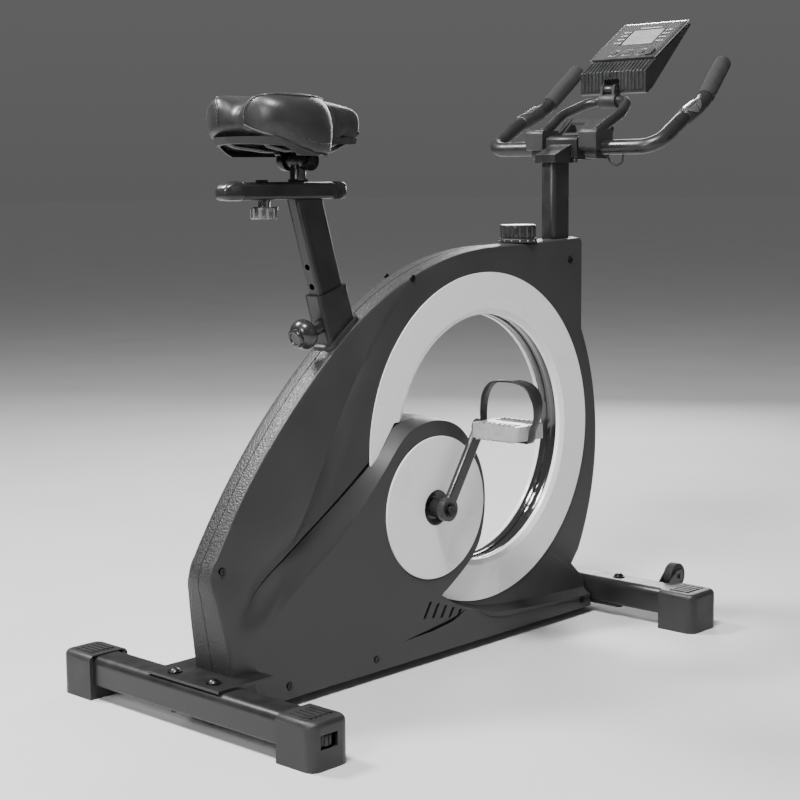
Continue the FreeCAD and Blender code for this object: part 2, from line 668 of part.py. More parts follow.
def flywheel():
    rim = ring_y(FLY_X, FLY_Z, FLY_R, FLY_R - 30, -FLY_HALF, FLY_HALF)
    web = ring_y(FLY_X, FLY_Z, FLY_R - 29, 20, -4, 4)
    hub = ring_y(FLY_X, FLY_Z, 22, 6.0 + RUN_CLEAR, -FLY_HALF - 3.5, FLY_HALF + 3.5)
    return fuse([rim, web, hub])


def flywheel_pulley():
    """Small belt pulley outside the fork; a sleeve through it turns with the flywheel."""
    body = ring_y(FLY_X, FLY_Z, SMALL_PULLEY_R + 3, 6.0 + RUN_CLEAR, BELT_Y0 - 2, BELT_Y1 + 2)
    return body.cut(ring_y(FLY_X, FLY_Z, SMALL_PULLEY_R + 5, SMALL_PULLEY_R, BELT_Y0, BELT_Y1))


def belt_loop(offset):
    """Closed belt line round both pulleys, offset outwards from their grooves."""
    big = V(0, 0, CRANK_Z)
    small = V(FLY_X, 0, FLY_Z)
    big_r = PULLEY_R - 2.5 + offset
    small_r = SMALL_PULLEY_R + offset
    across = small - big
    lean = math.asin((big_r - small_r) / across.Length)
    base = math.atan2(across.z, across.x)

    def on(centre, radius, angle):
        return V(centre.x + radius * math.cos(angle), 0, centre.z + radius * math.sin(angle))

    upper = base - math.pi / 2 + lean
    lower = base + math.pi / 2 - lean
    return Part.Wire([
        Part.LineSegment(on(big, big_r, upper), on(small, small_r, upper)).toShape(),
        Part.Arc(on(small, small_r, upper), on(small, small_r, base), on(small, small_r, lower)).toShape(),
        Part.LineSegment(on(small, small_r, lower), on(big, big_r, lower)).toShape(),
        Part.Arc(on(big, big_r, lower), on(big, big_r, base + math.pi), on(big, big_r, upper)).toShape(),
    ])


def drive_belt():
    outer = Part.Face(belt_loop(3.4))
    inner = Part.Face(belt_loop(0.4))
    loop = outer.cut(inner)
    loop.translate(V(0, BELT_Y0 + 0.5, 0))
    return largest_solid(loop.extrude(V(0, BELT_Y1 - BELT_Y0 - 1.0, 0)))


def magnet_bracket():
    """Forked bracket that carries brake magnets on both sides of the flywheel rim."""
    px, pz = MAGNET_PIVOT
    plates = []
    for y0 in (13.5, -17.0):
        arc = ring_y(FLY_X, FLY_Z, FLY_R + 9, FLY_R - 22, y0, y0 + 3.5)
        wedge = prism([(FLY_X, FLY_Z), (FLY_X - 20, FLY_Z + 190), (FLY_X + 130, FLY_Z + 150)], -30, 30)
        plates.append(arc.common(wedge))
        plates.append(prism([(px - 10, pz - 9), (px + 8, pz - 8), (px + 8, pz + 8), (px - 36, pz + 17),
                             (px - 56, pz + 15), (px - 70, pz - 4), (px - 40, pz - 24)], y0, y0 + 3.5))
    tie = box(px - 48, px - 38, -17, 17, pz + 10, pz + 16)
    pads = []
    for k in range(4):
        angle = math.radians(58.0 + 13.0 * k)
        for y0 in (12.0, -13.5):
            pads.append(disc_y(FLY_X + 101 * math.cos(angle), FLY_Z + 101 * math.sin(angle), 8.5, y0, y0 + 1.6))
    bracket = fuse(plates + [tie] + pads)
    return bracket.cut(disc_y(px, pz, MAGNET_PIN_R + RUN_CLEAR, -30, 30))


def magnet_pin():
    px, pz = MAGNET_PIVOT
    return disc_y(px, pz, MAGNET_PIN_R, -18.5, 18.5)


def tension_cable():
    """Cable in its sleeve from the knob, under the arch, down to the magnet bracket's anchor."""
    route = [V(KNOB_X, 0, 662), V(KNOB_X, 0, 648), V(240, 0, 640), V(120, 0, 632), V(20, -6, 612), V(-70, -14, 572),
             V(-118, -21.9, 525), V(-148, -21.9, 430), V(-160, -21.9, 340), V(-172, -14, 306)]
    radii = [8.0, 18.0, 80.0, 80.0, 60.0, 40.0, 60.0, 50.0]
    return pipe(route, radii, 2.5)


# ---- pedals ---------------------------------------------------------------------------------

def pedal(side):
    """Cage pedal with serrated treads front and rear, on the given side."""
    end = pedal_centre(side)
    x, z = end.x, end.z
    y0 = PEDAL_Y
    y1 = y0 + PEDAL_LENGTH
    half_w = PEDAL_WIDTH / 2
    half_h = PEDAL_HEIGHT / 2
    frame = soft_box(x - half_w, x + half_w, y0, y1, z - half_h, z + half_h, 7.0, V(0, 0, 1))
    for x0, x1 in ((x - half_w + 8, x - 10), (x + 10, x + half_w - 8)):
        frame = frame.cut(box(x0, x1, y0 + 9, y1 - 9, z - 20, z + 20))
    teeth = []
    for k in range(8):
        y = y0 + 10 + k * (PEDAL_LENGTH - 20) / 7.5
        for edge in (x - half_w + 0.5, x + half_w - 7.5):
            teeth.append(box(edge, edge + 7, y, y + 5, z - half_h - 2.5, z + half_h + 2.5))
    body = fuse([frame] + teeth)
    body = body.cut(disc_y(x, z, 6.0 + RUN_CLEAR, y0 - 1, y1 - 4))
    return body if side > 0 else mirrored(body)


def toe_cage(side):
    """Strap that arches over the pedal, with a short buckle tail hanging at its outer end."""
    end = pedal_centre(side)
    x, z = end.x, end.z
    y0 = PEDAL_Y - 3.5
    y1 = PEDAL_Y + PEDAL_LENGTH + 0.4
    top = z + 80.0
    low = z - 17.6
    outer = [(y0 + 3, low), (y1 + 0.5, low), (y1 + 3, low + 2.5), (y1 + 3, z + 2), (y1 + 13, z + 18), (y1 + 15, z + 42),
             (y1 + 4, top - 10), (y1 - 22, top), (y0 + 30, top), (y0 + 8, top - 12), (y0 + 0.5, z + 34),
             (y0 + 0.5, low + 2.5)]
    inner = [(y0 + 3, low + 2.5), (y1 + 0.4, low + 2.5), (y1 + 0.4, z + 3), (y1 + 10.4, z + 19), (y1 + 12.4, z + 41),
             (y1 + 2.6, top - 12), (y1 - 22.5, top - 2.5), (y0 + 30.5, top - 2.5), (y0 + 9.8, top - 13.7),
             (y0 + 3, z + 33)]

    def loop(points):
        corners = [V(x - 12, y, h) for y, h in points]
        return Part.Face(Part.makePolygon(corners + corners[:1])).extrude(V(24, 0, 0))

    strap = loop(outer).cut(loop(inner)).cut(disc_y(x, z, 7.0, y0 - 2, y0 + 10))
    return strap if side > 0 else mirrored(strap)


# ---- seat -----------------------------------------------------------------------------------

def seat_post():
    length = (RAIL_Z0 + 4.0 - SLEEVE_TOP_Z) / math.cos(math.radians(SEAT_ANGLE))
    tube = soft_box(-POST_L / 2, POST_L / 2, -POST_W / 2, POST_W / 2, 400, SLEEVE_TOP_Z + length + 20, 7.0, V(0, 0, 1))
    core = soft_box(-POST_L / 2 + 2, POST_L / 2 - 2, -POST_W / 2 + 2, POST_W / 2 - 2, 390, SLEEVE_TOP_Z + length + 30,
                    5.0, V(0, 0, 1))
    post = along_seat(tube.cut(core)).cut(box(-500, 100, -50, 50, RAIL_Z0, 1000))
    way = pin_direction()
    for k in range(-4, 4):
        centre = seat_axis_point(PIN_Z) + V(-math.tan(math.radians(SEAT_ANGLE)), 0, 1) * (HOLE_PITCH * k)
        post = post.cut(rod(centre + way * 15, centre + way * 30, PIN_R + 0.35))
    return post


def seat_rail():
    """Square channel on top of the post that the saddle slider runs in."""
    rail = soft_box(RAIL_X0 + 26, RAIL_X1 - 22, -RAIL_HALF, RAIL_HALF, RAIL_Z0, RAIL_Z1, 6.0, V(1, 0, 0))
    bore = box(RAIL_X0, RAIL_X1, -RAIL_HALF + 3, RAIL_HALF - 3, RAIL_Z0 + 3, RAIL_Z1 - 3)
    slot = box(-364, -206, -8, 8, RAIL_Z1 - 6, RAIL_Z1 + 2)
    screw = post_z(-322, 0, 4.06, RAIL_Z0 - 2, RAIL_Z0 + 5)
    return rail.cut(bore).cut(slot).cut(screw)


def rail_plugs():
    rear = soft_box(RAIL_X0, RAIL_X0 + 25.9, -RAIL_HALF - 2, RAIL_HALF + 2, RAIL_Z0 - 2, RAIL_Z1 + 3, 8.0, V(1, 0, 0))
    rear = rear.makeFillet(7.0, [e for e in rear.Edges if max(v.X for v in e.Vertexes) < RAIL_X0 + 0.1])
    front = soft_box(RAIL_X1 - 21.9, RAIL_X1, -RAIL_HALF, RAIL_HALF, RAIL_Z0, RAIL_Z1, 6.0, V(1, 0, 0))
    front = front.makeFillet(5.0, [e for e in front.Edges if min(v.X for v in e.Vertexes) > RAIL_X1 - 0.1])
    return Part.makeCompound([rear, front])


def fluted(x, y, radius, z0, z1, count):
    """Round knob with scalloped grooves round its side."""
    knob = post_z(x, y, radius, z0, z1)
    knob = knob.makeChamfer(1.5, [e for e in knob.Edges if e.Length > 20 and e.Closed])
    groove = radius * math.pi / count * 0.55
    for k in range(count):
        angle = 2 * math.pi * k / count
        knob = knob.cut(post_z(x + (radius + groove * 0.45) * math.cos(angle),
                               y + (radius + groove * 0.45) * math.sin(angle), groove, z0 - 1, z1 - 3.0))
    return knob


def slider_knob():
    head = fluted(-322, 0, 20.5, 729, 747, 12)
    neck = post_z(-322, 0, 9.0, 746, RAIL_Z0 - 0.4)
    screw = post_z(-322, 0, 4.0, 750, RAIL_Z0 + 3.4)
    return fuse([head, neck, screw])


def seat_slider():
    """Slider bar in the rail with the stub post and head that hold the saddle rails."""
    bar = box(-345, -225, -RAIL_HALF + 3 + SLIDE_CLEAR, RAIL_HALF - 3 - SLIDE_CLEAR, RAIL_Z0 + 3.8,
              RAIL_Z1 - 3 - SLIDE_CLEAR)
    neck = box(-266, -240, -7.5, 7.5, RAIL_Z1 - 4, RAIL_Z1 + 4)
    stub = post_z(-253, 0, 12.0, RAIL_Z1 + 2, 804)
    head = disc_y(-253, 815, 12.5, -17, 17)
    head = head.fuse(post_z(-253, 0, 11.0, 800, 815))
    head = head.cut(disc_y(-253, 815, 5.06, -40, 40))
    pointer = box(-333, -318, -5, 5, RAIL_Z1 - 5, RAIL_Z1 + 3)
    return fuse([bar, neck, stub, head, pointer])


def saddle_clamp():
    """Two serrated clamp cheeks on a cross bolt."""
    cheeks = []
    for side in (-1, 1):
        y0 = 17.4 if side > 0 else -29.4
        cheek = disc_y(-253, 815, 16.0, y0, y0 + 12.0)
        jaw = soft_box(-273, -233, y0, y0 + 12.0, 821, 834, 4.0, V(0, 1, 0))
        cheeks += [cheek, jaw]
    bolt = disc_y(-253, 815, 5.0, -35, 35)
    heads = [disc_y(-253, 815, 8.5, 29.0, 35), disc_y(-253, 815, 8.5, -35, -29.0)]
    clamp = fuse(cheeks + [bolt] + heads)
    for side in (-1, 1):
        clamp = clamp.cut(rod(V(-280, side * RAIL_WIRE_Y, 829), V(-226, side * RAIL_WIRE_Y, 829), RAIL_WIRE_R + 0.02))
    return clamp


def saddle_wires(radius):
    """Two bent wires that carry the saddle shell, joined into the clamp jaws."""
    wires = []
    for side in (-1, 1):
        y = side * RAIL_WIRE_Y
        route = [V(-362, side * 42, 843), V(-345, side * 36, 835), V(-300, y, 829), V(-206, y, 829),
                 V(-172, side * 12, 838), V(-158, side * 8, 843)]
        wires.append(pipe(route, [14.0, 26.0, 26.0, 8.0], radius))
    return wires


def saddle_wire(z, grow):
    """Plan outline of the saddle at one height."""
    rear_x = SADDLE_X - SADDLE_REAR_R - grow
    half = SADDLE_HALF + grow
    tip = NOSE_TIP_X + grow
    points = [V(rear_x, 0, z), V(rear_x + 12, half * 0.55, z), V(SADDLE_X - 22, half * 0.97, z),
              V(SADDLE_X + 26, half * 0.90, z), V(SADDLE_X + 74, half * 0.50, z), V(SADDLE_X + 120, half * 0.29, z),
              V(tip - 12, half * 0.24, z), V(tip, 0, z)]
    points += [V(p.x, -p.y, z) for p in reversed(points[1:-1])]
    curve = Part.BSplineCurve()
    curve.interpolate(points, PeriodicFlag=True)
    return Part.Wire([curve.toShape()])


def saddle_cushion():
    levels = [(SADDLE_BASE_Z + 8.0, -3.0), (SADDLE_BASE_Z + 24.0, 0.0), (SADDLE_BASE_Z + 48.0, -2.0),
              (SADDLE_TOP_Z - 8.0, -12.0), (SADDLE_TOP_Z, -30.0)]
    return Part.makeLoft([saddle_wire(z, grow) for z, grow in levels], True, False)


def saddle_shell():
    """Moulded base under the cushion: a thin roof with skirts that hang lower at the sides."""
    outer = Part.makeLoft([saddle_wire(SKIRT_Z, -15.0), saddle_wire(SADDLE_BASE_Z + 7.8, -4.0)], True, False)
    inner = Part.makeLoft([saddle_wire(SKIRT_Z - 4.0, -22.0), saddle_wire(SADDLE_BASE_Z + 3.8, -10.0)], True, False)
    nose_gap = prism([(-225, SKIRT_Z - 5), (-205, SADDLE_BASE_Z - 2), (-100, SADDLE_BASE_Z), (-100, SKIRT_Z - 5)],
                     -120, 120)
    rear_gap = prism([(-308, SKIRT_Z - 5), (-345, SADDLE_BASE_Z - 6), (-420, SADDLE_BASE_Z + 2),
                      (-420, SKIRT_Z - 5)], -120, 120)
    shell = outer.cut(inner).cut(nose_gap).cut(rear_gap)
    for wire in saddle_wires(RAIL_WIRE_R + 0.02):
        shell = shell.cut(wire)
    return largest_solid(shell)


# ---- handlebar and console ------------------------------------------------------------------

BAR_ROUTE = [V(BAR_X, 0, BAR_Z), V(BAR_X, 184, BAR_Z), V(490, 181, 884), V(563, 176, 916), V(648, 163, 990)]
BAR_BENDS = [34.0, 120.0, 70.0]


def half_bar():
    return pipe(BAR_ROUTE, BAR_BENDS, BAR_R, 11.0)


def handlebar_tube():
    right = mirrored(half_bar())
    return fuse([half_bar(), right])


def grip_route():
    along = (BAR_ROUTE[4] - BAR_ROUTE[3]).normalize()
    return BAR_ROUTE[3] + along * 16.0, BAR_ROUTE[4] + along * 4.0


def grips():
    start, end = grip_route()
    grip = rod(start, end, GRIP_R)
    grip = grip.makeFillet(4.0, [e for e in grip.Edges if e.Closed][:1] + [e for e in grip.Edges if e.Closed][-1:])
    stop = end - (end - start).normalize() * 3.9
    grip = grip.cut(rod(start - (end - start), stop, BAR_R + 0.1))
    return Part.makeCompound([grip, mirrored(grip)])


def pulse_sensors():
    """Pairs of curved contact plates wrapped round each arm of the bar."""
    start = BAR_ROUTE[2] + (BAR_ROUTE[3] - BAR_ROUTE[2]) * 0.16
    end = BAR_ROUTE[2] + (BAR_ROUTE[3] - BAR_ROUTE[2]) * 0.70
    sleeve = rod(start, end, BAR_R + 2.0).cut(rod(start - (end - start), end + (end - start), BAR_R + 0.1))
    middle = (start + end) * 0.5
    along = (end - start).normalize()
    gap = Part.makeBox(100, 100, 2.0, V(-50, -50, 0))
    gap.Placement = FreeCAD.Placement(middle - along * 1.0, FreeCAD.Rotation(V(0, 0, 1), along))
    halves = sleeve.cut(gap)
    return Part.makeCompound(halves.Solids + [mirrored(plate) for plate in halves.Solids])


def handlebar_clamp():
    """Post head that grips the bar, with its ridged cover and two bolts."""
    socket = soft_box(POST_X - 22.2, POST_X + 22.2, -12.2, 12.2, 790, 815, 6.5, V(0, 0, 1))
    head = box(POST_X - 30, POST_X + 30, -22, 22, 812.2, 822)
    block = box(BAR_X - 24, BAR_X + 22, -34, 34, 818, 858)
    block = block.makeFillet(7.0, [e for e in block.Edges if abs(e.Vertexes[1].Y - e.Vertexes[0].Y) > 50])
    bridge = prism([(POST_X - 30, 812.2), (POST_X - 30, 826), (BAR_X - 20, 846), (BAR_X, 822), (POST_X + 30, 812.2)],
                   -22, 22)
    ridges = [box(BAR_X - 20 + 7 * k, BAR_X - 17 + 7 * k, -30, 30, 857, 860) for k in range(5)]
    bolts = [post_z(BAR_X - 19, y, 4.5, 812.4, 819) for y in (-27.0, 27.0)]
    body = fuse([socket, head, block, bridge] + ridges + bolts)
    return body.cut(disc_y(BAR_X, BAR_Z, BAR_R + RUN_CLEAR, -60, 60))


HOOP_FOOT = V(BAR_X + 2, 58, 856)
HOOP_BENDS = [60.0, 34.0, 34.0, 60.0]


def hoop_route():
    left = [V(HOOP_FOOT.x - 6, 58, 862), V(470, 66, 898), V(528, 40, 924)]
    return left + [V(p.x, -p.y, p.z) for p in reversed(left)]


def handlebar_hoop():
    return pipe(hoop_route(), HOOP_BENDS, HOOP_R, 7.4)


def handlebar_tray():
    """Moulded tray between the hoop's legs, with the two blocks that hold the hoop on the bar."""
    blocks = []
    for side in (-1, 1):
        y0 = 40.0 if side > 0 else -78.0
        block = soft_box(BAR_X - 27, BAR_X + 22, y0, y0 + 38.0, BAR_Z - 4, BAR_Z + 32, 7.0, V(0, 1, 0))
        lower = soft_box(BAR_X - 19, BAR_X + 19, y0 + 6, y0 + 30.0, BAR_Z - 19, BAR_Z, 6.0, V(0, 1, 0))
        blocks += [block, lower]
    deck = prism([(BAR_X + 27, 862), (BAR_X + 62, 892), (BAR_X + 64, 889), (BAR_X + 29, 858)], -52, 52)
    cheeks = []
    for side in (-1, 1):
        y0 = 40.0 if side > 0 else -43.0
        cheeks.append(prism([(BAR_X + 14, 860), (BAR_X + 62, 893), (BAR_X + 74, 872), (BAR_X + 62, 852),
                             (BAR_X + 14, 846)], y0, y0 + 3.0))
    body = fuse(blocks + [deck] + cheeks)
    body = body.cut(box(BAR_X + 32, BAR_X + 54, 4, 36, 800, 930))
    body = body.cut(disc_y(BAR_X, BAR_Z, BAR_R + 0.02, -100, 100))
    hole = pipe(hoop_route(), HOOP_BENDS, HOOP_R + 0.05)
    return largest_solid(body.cut(hole))


def sensor_lead():
    """Short pulse-sensor lead looped under the bar beside the right block."""
    route = [V(BAR_X, -83, 823.4), V(BAR_X + 2, -88, 812), V(BAR_X + 4, -100, 806), V(BAR_X + 4, -112, 812),
             V(BAR_X, -116, 823.4)]
    return pipe(route, [9.0, 9.0, 9.0], 1.6)


CONSOLE_PIVOT = V(529, 0, 944)


def console_body():
    """Wedge-shaped back case with the ribbed tablet rest along its lower edge."""
    case = prism([(541, 940), (556, 944), (679, 1064), (676.5, 1067.5), (566, 996), (541, 976)],
                 -CONSOLE_HALF, CONSOLE_HALF)
    rest = prism([(536, 938), (544, 936), (566, 955), (570, 994), (563, 996), (536, 976)],
                 -CONSOLE_HALF, CONSOLE_HALF)
    ribs = []
    for k in range(17):
        y = -CONSOLE_HALF + 8.0 + k * (2 * CONSOLE_HALF - 16.0) / 16.0
        ribs.append(prism([(533.5, 944), (538, 944), (538, 976), (562, 994), (560, 997), (533.5, 977)],
                          y - 1.8, y + 1.8))
    case = fuse([case, rest] + ribs).cut(disc_y(CONSOLE_PIVOT.x, CONSOLE_PIVOT.z, 20.0, -17, 17))
    neck = box(CONSOLE_PIVOT.x, CONSOLE_PIVOT.x + 24, -10, 10, CONSOLE_PIVOT.z - 3, CONSOLE_PIVOT.z + 7)
    knuckle = disc_y(CONSOLE_PIVOT.x, CONSOLE_PIVOT.z, 8.0, -10, 10)
    body = fuse([case, neck, knuckle])
    return body.cut(disc_y(CONSOLE_PIVOT.x, CONSOLE_PIVOT.z, 3.06, -20, 20))


def console_mount():
    """Saddle clamp on the hoop's apex with the ears that hold the console's pivot pin."""
    saddle = disc_y(528, 924, 13.0, -18, 18)
    ears = []
    for y0 in (10.4, -15.4):
        ears.append(prism([(518, 924), (540, 924), (537, 950), (533, 953), (525, 953), (521, 950)], y0, y0 + 5.0))
    pin = disc_y(CONSOLE_PIVOT.x, CONSOLE_PIVOT.z, 3.0, -16, 16)
    body = fuse([saddle] + ears).cut(pipe(hoop_route(), HOOP_BENDS, HOOP_R + 0.02))
    room = disc_y(CONSOLE_PIVOT.x, CONSOLE_PIVOT.z, 9.0, -10.3, 10.3)
    return fuse([body.cut(room), pin])


def on_panel(shape):
    """Places a shape built flat on Z = 0, X up the panel, onto the tilted console face."""
    moved = turned(shape, V(0, 0, 0), V(0, 1, 0), -CONSOLE_TILT)
    moved.translate(V(566, 0, 997.0))
    return moved


BUTTON_SPOTS = [(22.0, 30.0), (22.0, 0.0), (22.0, -30.0)]
BUTTON_R = 6.5


def console_panel():
    """Face plate with the screen window and three button holes."""
    plate = soft_box(2, 130, -CONSOLE_HALF + 1, CONSOLE_HALF - 1, 0.3, 4.5, 6.0, V(0, 0, 1))
    plate = plate.cut(box(52, 108, -38, 38, 3.3, 6))
    for x, y in BUTTON_SPOTS:
        plate = plate.cut(post_z(x, y, BUTTON_R + 0.35, 1.4, 8))
    return on_panel(plate)


def console_button(index):
    x, y = BUTTON_SPOTS[index]
    button = post_z(x, y, BUTTON_R, 2.6, 6.5)
    return on_panel(button.makeFillet(1.2, [e for e in button.Edges if e.Closed and e.Vertexes[0].Z > 6]))


def resistance_knob():
    head = fluted(KNOB_X, 0, KNOB_R, 684.5, 707, 16)
    stem = post_z(KNOB_X, 0, 5.0, 666, 686)
    return fuse([head, stem])


def knob_base():
    base = post_z(KNOB_X, 0, KNOB_R + 2.0, 676.6, 683.8)
    base = base.makeChamfer(1.5, [e for e in base.Edges if e.Closed and e.Vertexes[0].Z > 683])
    return base.cut(post_z(KNOB_X, 0, 5.06, 600, 700)).cut(slab(-0.1, -60, 60))


def transport_wheel(side):
    y = side * WHEEL_Y
    tread = ring_y(WHEEL_X, WHEEL_Z, WHEEL_R, 4.0 + RUN_CLEAR, y - 8.5, y + 8.5)
    return tread.makeFillet(2.0, [e for e in tread.Edges if e.Closed and e.Length > 100])


def base_parts():
    """Pieces fixed to the floor-standing frame."""
    cover = casing_half()
    trim = ring_trim()
    caps = [rear_cap(), front_cap()]
    return {
        "base_frame": base_frame(),
        "handlebar_post": handlebar_post(),
        "handlebar_clamp": handlebar_clamp(),
        "housing_right": cover,
        "housing_left": mirrored(cover),
        "spine_cover": spine_cover(),
        "ring_trim_right": trim,
        "ring_trim_left": mirrored(trim),
        "ring_liner": ring_liner(),
        "rear_stabiliser": rear_stabiliser(),
        "front_stabiliser": front_stabiliser(),
        "stabiliser_caps": Part.makeCompound(caps + [mirrored(c) for c in caps]),
        "fasteners": Part.makeCompound(stabiliser_bolts() + housing_screws()),
        "seat_collar": seat_collar(),
        "bearings": bearings(),
        "drive_axles": Part.makeCompound([flywheel_axle(), magnet_pin()]),
        "drive_belt": drive_belt(),
        "tension_cable": tension_cable(),
        "knob_base": knob_base(),
    }


def drive_parts():
    disc = crank_disc()
    return {
        "crank_axle": crank_axle(),
        "crank_arm_right": crank_arm(-1),
        "crank_arm_left": crank_arm(1),
        "crank_pulley": crank_pulley(),
        "crank_disc_right": disc,
        "crank_disc_left": mirrored(disc),
        "pedal_spindles": pedal_spindles(),
        "pedal_right": pedal(-1),
        "pedal_left": pedal(1),
        "toe_cage_right": toe_cage(-1),
        "toe_cage_left": toe_cage(1),
        "flywheel": flywheel(),
        "flywheel_pulley": flywheel_pulley(),
        "magnet_bracket": magnet_bracket(),
        "resistance_knob": resistance_knob(),
    }


def seat_parts():
    return {
        "seat_post": seat_post(),
        "seat_rail": seat_rail(),
        "rail_plugs": rail_plugs(),
        "pop_pin": pop_pin(),
        "slider_knob": slider_knob(),
        "seat_slider": seat_slider(),
        "saddle_clamp": saddle_clamp(),
        "saddle_rails": Part.makeCompound(saddle_wires(RAIL_WIRE_R)),
        "saddle_shell": saddle_shell(),
        "saddle_cushion": saddle_cushion(),
    }


def bar_parts():
    return {
        "handlebar_tube": handlebar_tube(),
        "handlebar_hoop": handlebar_hoop(),
        "handlebar_tray": handlebar_tray(),
        "grips": grips(),
        "pulse_sensors": pulse_sensors(),
        "sensor_lead": sensor_lead(),
        "console_mount": console_mount(),
        "console_body": console_body(),
        "console_panel": console_panel(),
        "console_button_left": console_button(0),
        "console_button_middle": console_button(1),
        "console_button_right": console_button(2),
    }


def floor_parts():
    level = leveller()
    return {
        "leveller_right": level,
        "leveller_left": mirrored(level),
        "transport_wheel_right": transport_wheel(-1),
        "transport_wheel_left": transport_wheel(1),
    }


def write(parts):
    os.makedirs("parts", exist_ok=True)
    for name, shape in parts.items():
        moved = shape.copy()
        moved.translate(V(-ORIGIN_X, 0, 0))
        moved.exportStep("parts/" + name + ".step")
        box_mm = moved.BoundBox
        print(name, "solids", len(moved.Solids), "valid", moved.isValid(), "cm3", round(moved.Volume / 1000.0, 1),
              "x", round(box_mm.XMin, 1), round(box_mm.XMax, 1), "y", round(box_mm.YMin, 1), round(box_mm.YMax, 1),
              "z", round(box_mm.ZMin, 1), round(box_mm.ZMax, 1))


write(base_parts())
write(drive_parts())
write(seat_parts())
write(bar_parts())
write(floor_parts())
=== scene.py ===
import math

import bmesh
import bpy
import numpy as np
from mathutils import Matrix, Vector, noise
from mathutils.bvhtree import BVHTree
from mathutils.geometry import delaunay_2d_cdt


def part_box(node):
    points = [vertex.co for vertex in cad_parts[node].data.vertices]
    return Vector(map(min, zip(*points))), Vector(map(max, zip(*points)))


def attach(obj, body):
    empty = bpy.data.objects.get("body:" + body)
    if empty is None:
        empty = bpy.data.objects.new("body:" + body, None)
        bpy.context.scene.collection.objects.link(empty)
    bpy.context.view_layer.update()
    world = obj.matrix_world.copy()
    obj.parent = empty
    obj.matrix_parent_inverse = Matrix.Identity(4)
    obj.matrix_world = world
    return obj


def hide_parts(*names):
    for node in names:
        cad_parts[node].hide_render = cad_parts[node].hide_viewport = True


# Looks of an upright exercise bike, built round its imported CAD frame.
# Shapes are worked out in millimetres with X = 0 on the crank axis, and place() turns them into
# metres in the row frame: +X towards the handlebar, +Y to the rider's left, +Z up.

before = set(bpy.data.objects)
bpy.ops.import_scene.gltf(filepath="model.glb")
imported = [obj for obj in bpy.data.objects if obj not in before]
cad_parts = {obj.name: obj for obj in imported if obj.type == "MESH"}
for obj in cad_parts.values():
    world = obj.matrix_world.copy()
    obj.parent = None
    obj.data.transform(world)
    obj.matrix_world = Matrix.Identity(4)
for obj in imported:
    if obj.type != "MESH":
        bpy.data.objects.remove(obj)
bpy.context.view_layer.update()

MM = 0.001
axle_low, axle_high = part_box("crank_axle")
CRANK_X = (axle_low.x + axle_high.x) / 2


def place(x, y, z):
    return Vector((CRANK_X + x * MM, y * MM, z * MM))


def unplace(spot):
    """Crank millimetres of a point in the row frame."""
    return (spot.x - CRANK_X) / MM, spot.y / MM, spot.z / MM


def new_object(name, data):
    made = bpy.data.objects.new(name, data)
    bpy.context.collection.objects.link(made)
    return made


def set_inputs(node, values):
    for socket, value in values.items():
        node.inputs[socket].default_value = value


# ---- camera, floor and light ----------------------------------------------------------------

CAMERA_PLACE = (-1987.5, -1837.1, 782.1)
CAMERA_YAW = 43.253
CAMERA_DIP = 7.425
CAMERA_ROLL = -0.475
CAMERA_LENS = 75.44
HORIZON = 0.11
ZENITH = 0.22
FLOOR_REACH = 60.0


def make_camera():
    data = bpy.data.cameras.new("camera")
    data.lens = CAMERA_LENS
    data.sensor_width = 36.0
    data.clip_end = 100.0
    camera = new_object("camera", data)
    yaw, dip, roll = (math.radians(a) for a in (CAMERA_YAW, CAMERA_DIP, CAMERA_ROLL))
    ahead = Vector((math.cos(yaw) * math.cos(dip), math.sin(yaw) * math.cos(dip), -math.sin(dip)))
    right = Vector((math.sin(yaw), -math.cos(yaw), 0.0))
    up = right.cross(ahead)
    tilted_right = math.cos(roll) * right + math.sin(roll) * up
    tilted_up = math.cos(roll) * up - math.sin(roll) * right
    turn = Matrix((tilted_right, tilted_up, -ahead)).transposed()
    camera.matrix_world = Matrix.Translation(place(*CAMERA_PLACE)) @ turn.to_4x4()
    bpy.context.scene.camera = camera


def area_light(name, spot, target, size, power):
    data = bpy.data.lights.new(name, "AREA")
    data.shape = "RECTANGLE"
    data.size, data.size_y = size
    data.energy = power
    light = new_object(name, data)
    light.location = spot
    light.rotation_mode = "QUATERNION"
    light.rotation_quaternion = (Vector(target) - Vector(spot)).to_track_quat("-Z", "Y")


def make_lights():
    """Key over the far side, a high light near overhead, a graze from behind, a weak fill and a rim light."""
    area_light("key", (-1.1, 1.7, 2.9), (0.0, 0.0, 0.35), (0.7, 0.7), 150.0)
    area_light("high", (-1.35, -0.75, 3.3), (-0.1, 0.0, 0.4), (0.7, 0.7), 165.0)
    area_light("graze", (-2.9, -0.55, 1.7), (-0.15, 0.0, 0.45), (0.7, 0.9), 52.0)
    area_light("fill", (0.4, -3.4, 1.7), (0.0, 0.0, 0.5), (2.4, 1.8), 6.0)
    area_light("rim", (2.3, 1.4, 1.6), (0.1, 0.0, 0.6), (0.8, 1.8), 50.0)


def make_world():
    """Studio backdrop: as bright at the horizon as the far floor, and brighter overhead."""
    world = bpy.data.worlds.new("studio")
    world.use_nodes = True
    tree = world.node_tree
    spot = tree.nodes.new("ShaderNodeTexCoord")
    split = tree.nodes.new("ShaderNodeSeparateXYZ")
    rise = tree.nodes.new("ShaderNodeMapRange")
    set_inputs(rise, {"From Min": 0.0, "From Max": 1.0, "To Min": HORIZON, "To Max": ZENITH})
    tree.links.new(spot.outputs["Generated"], split.inputs[0])
    tree.links.new(split.outputs["Z"], rise.inputs["Value"])
    background = tree.nodes["Background"]
    tree.links.new(rise.outputs["Result"], background.inputs["Color"])
    background.inputs["Strength"].default_value = 1.0
    bpy.context.scene.world = world


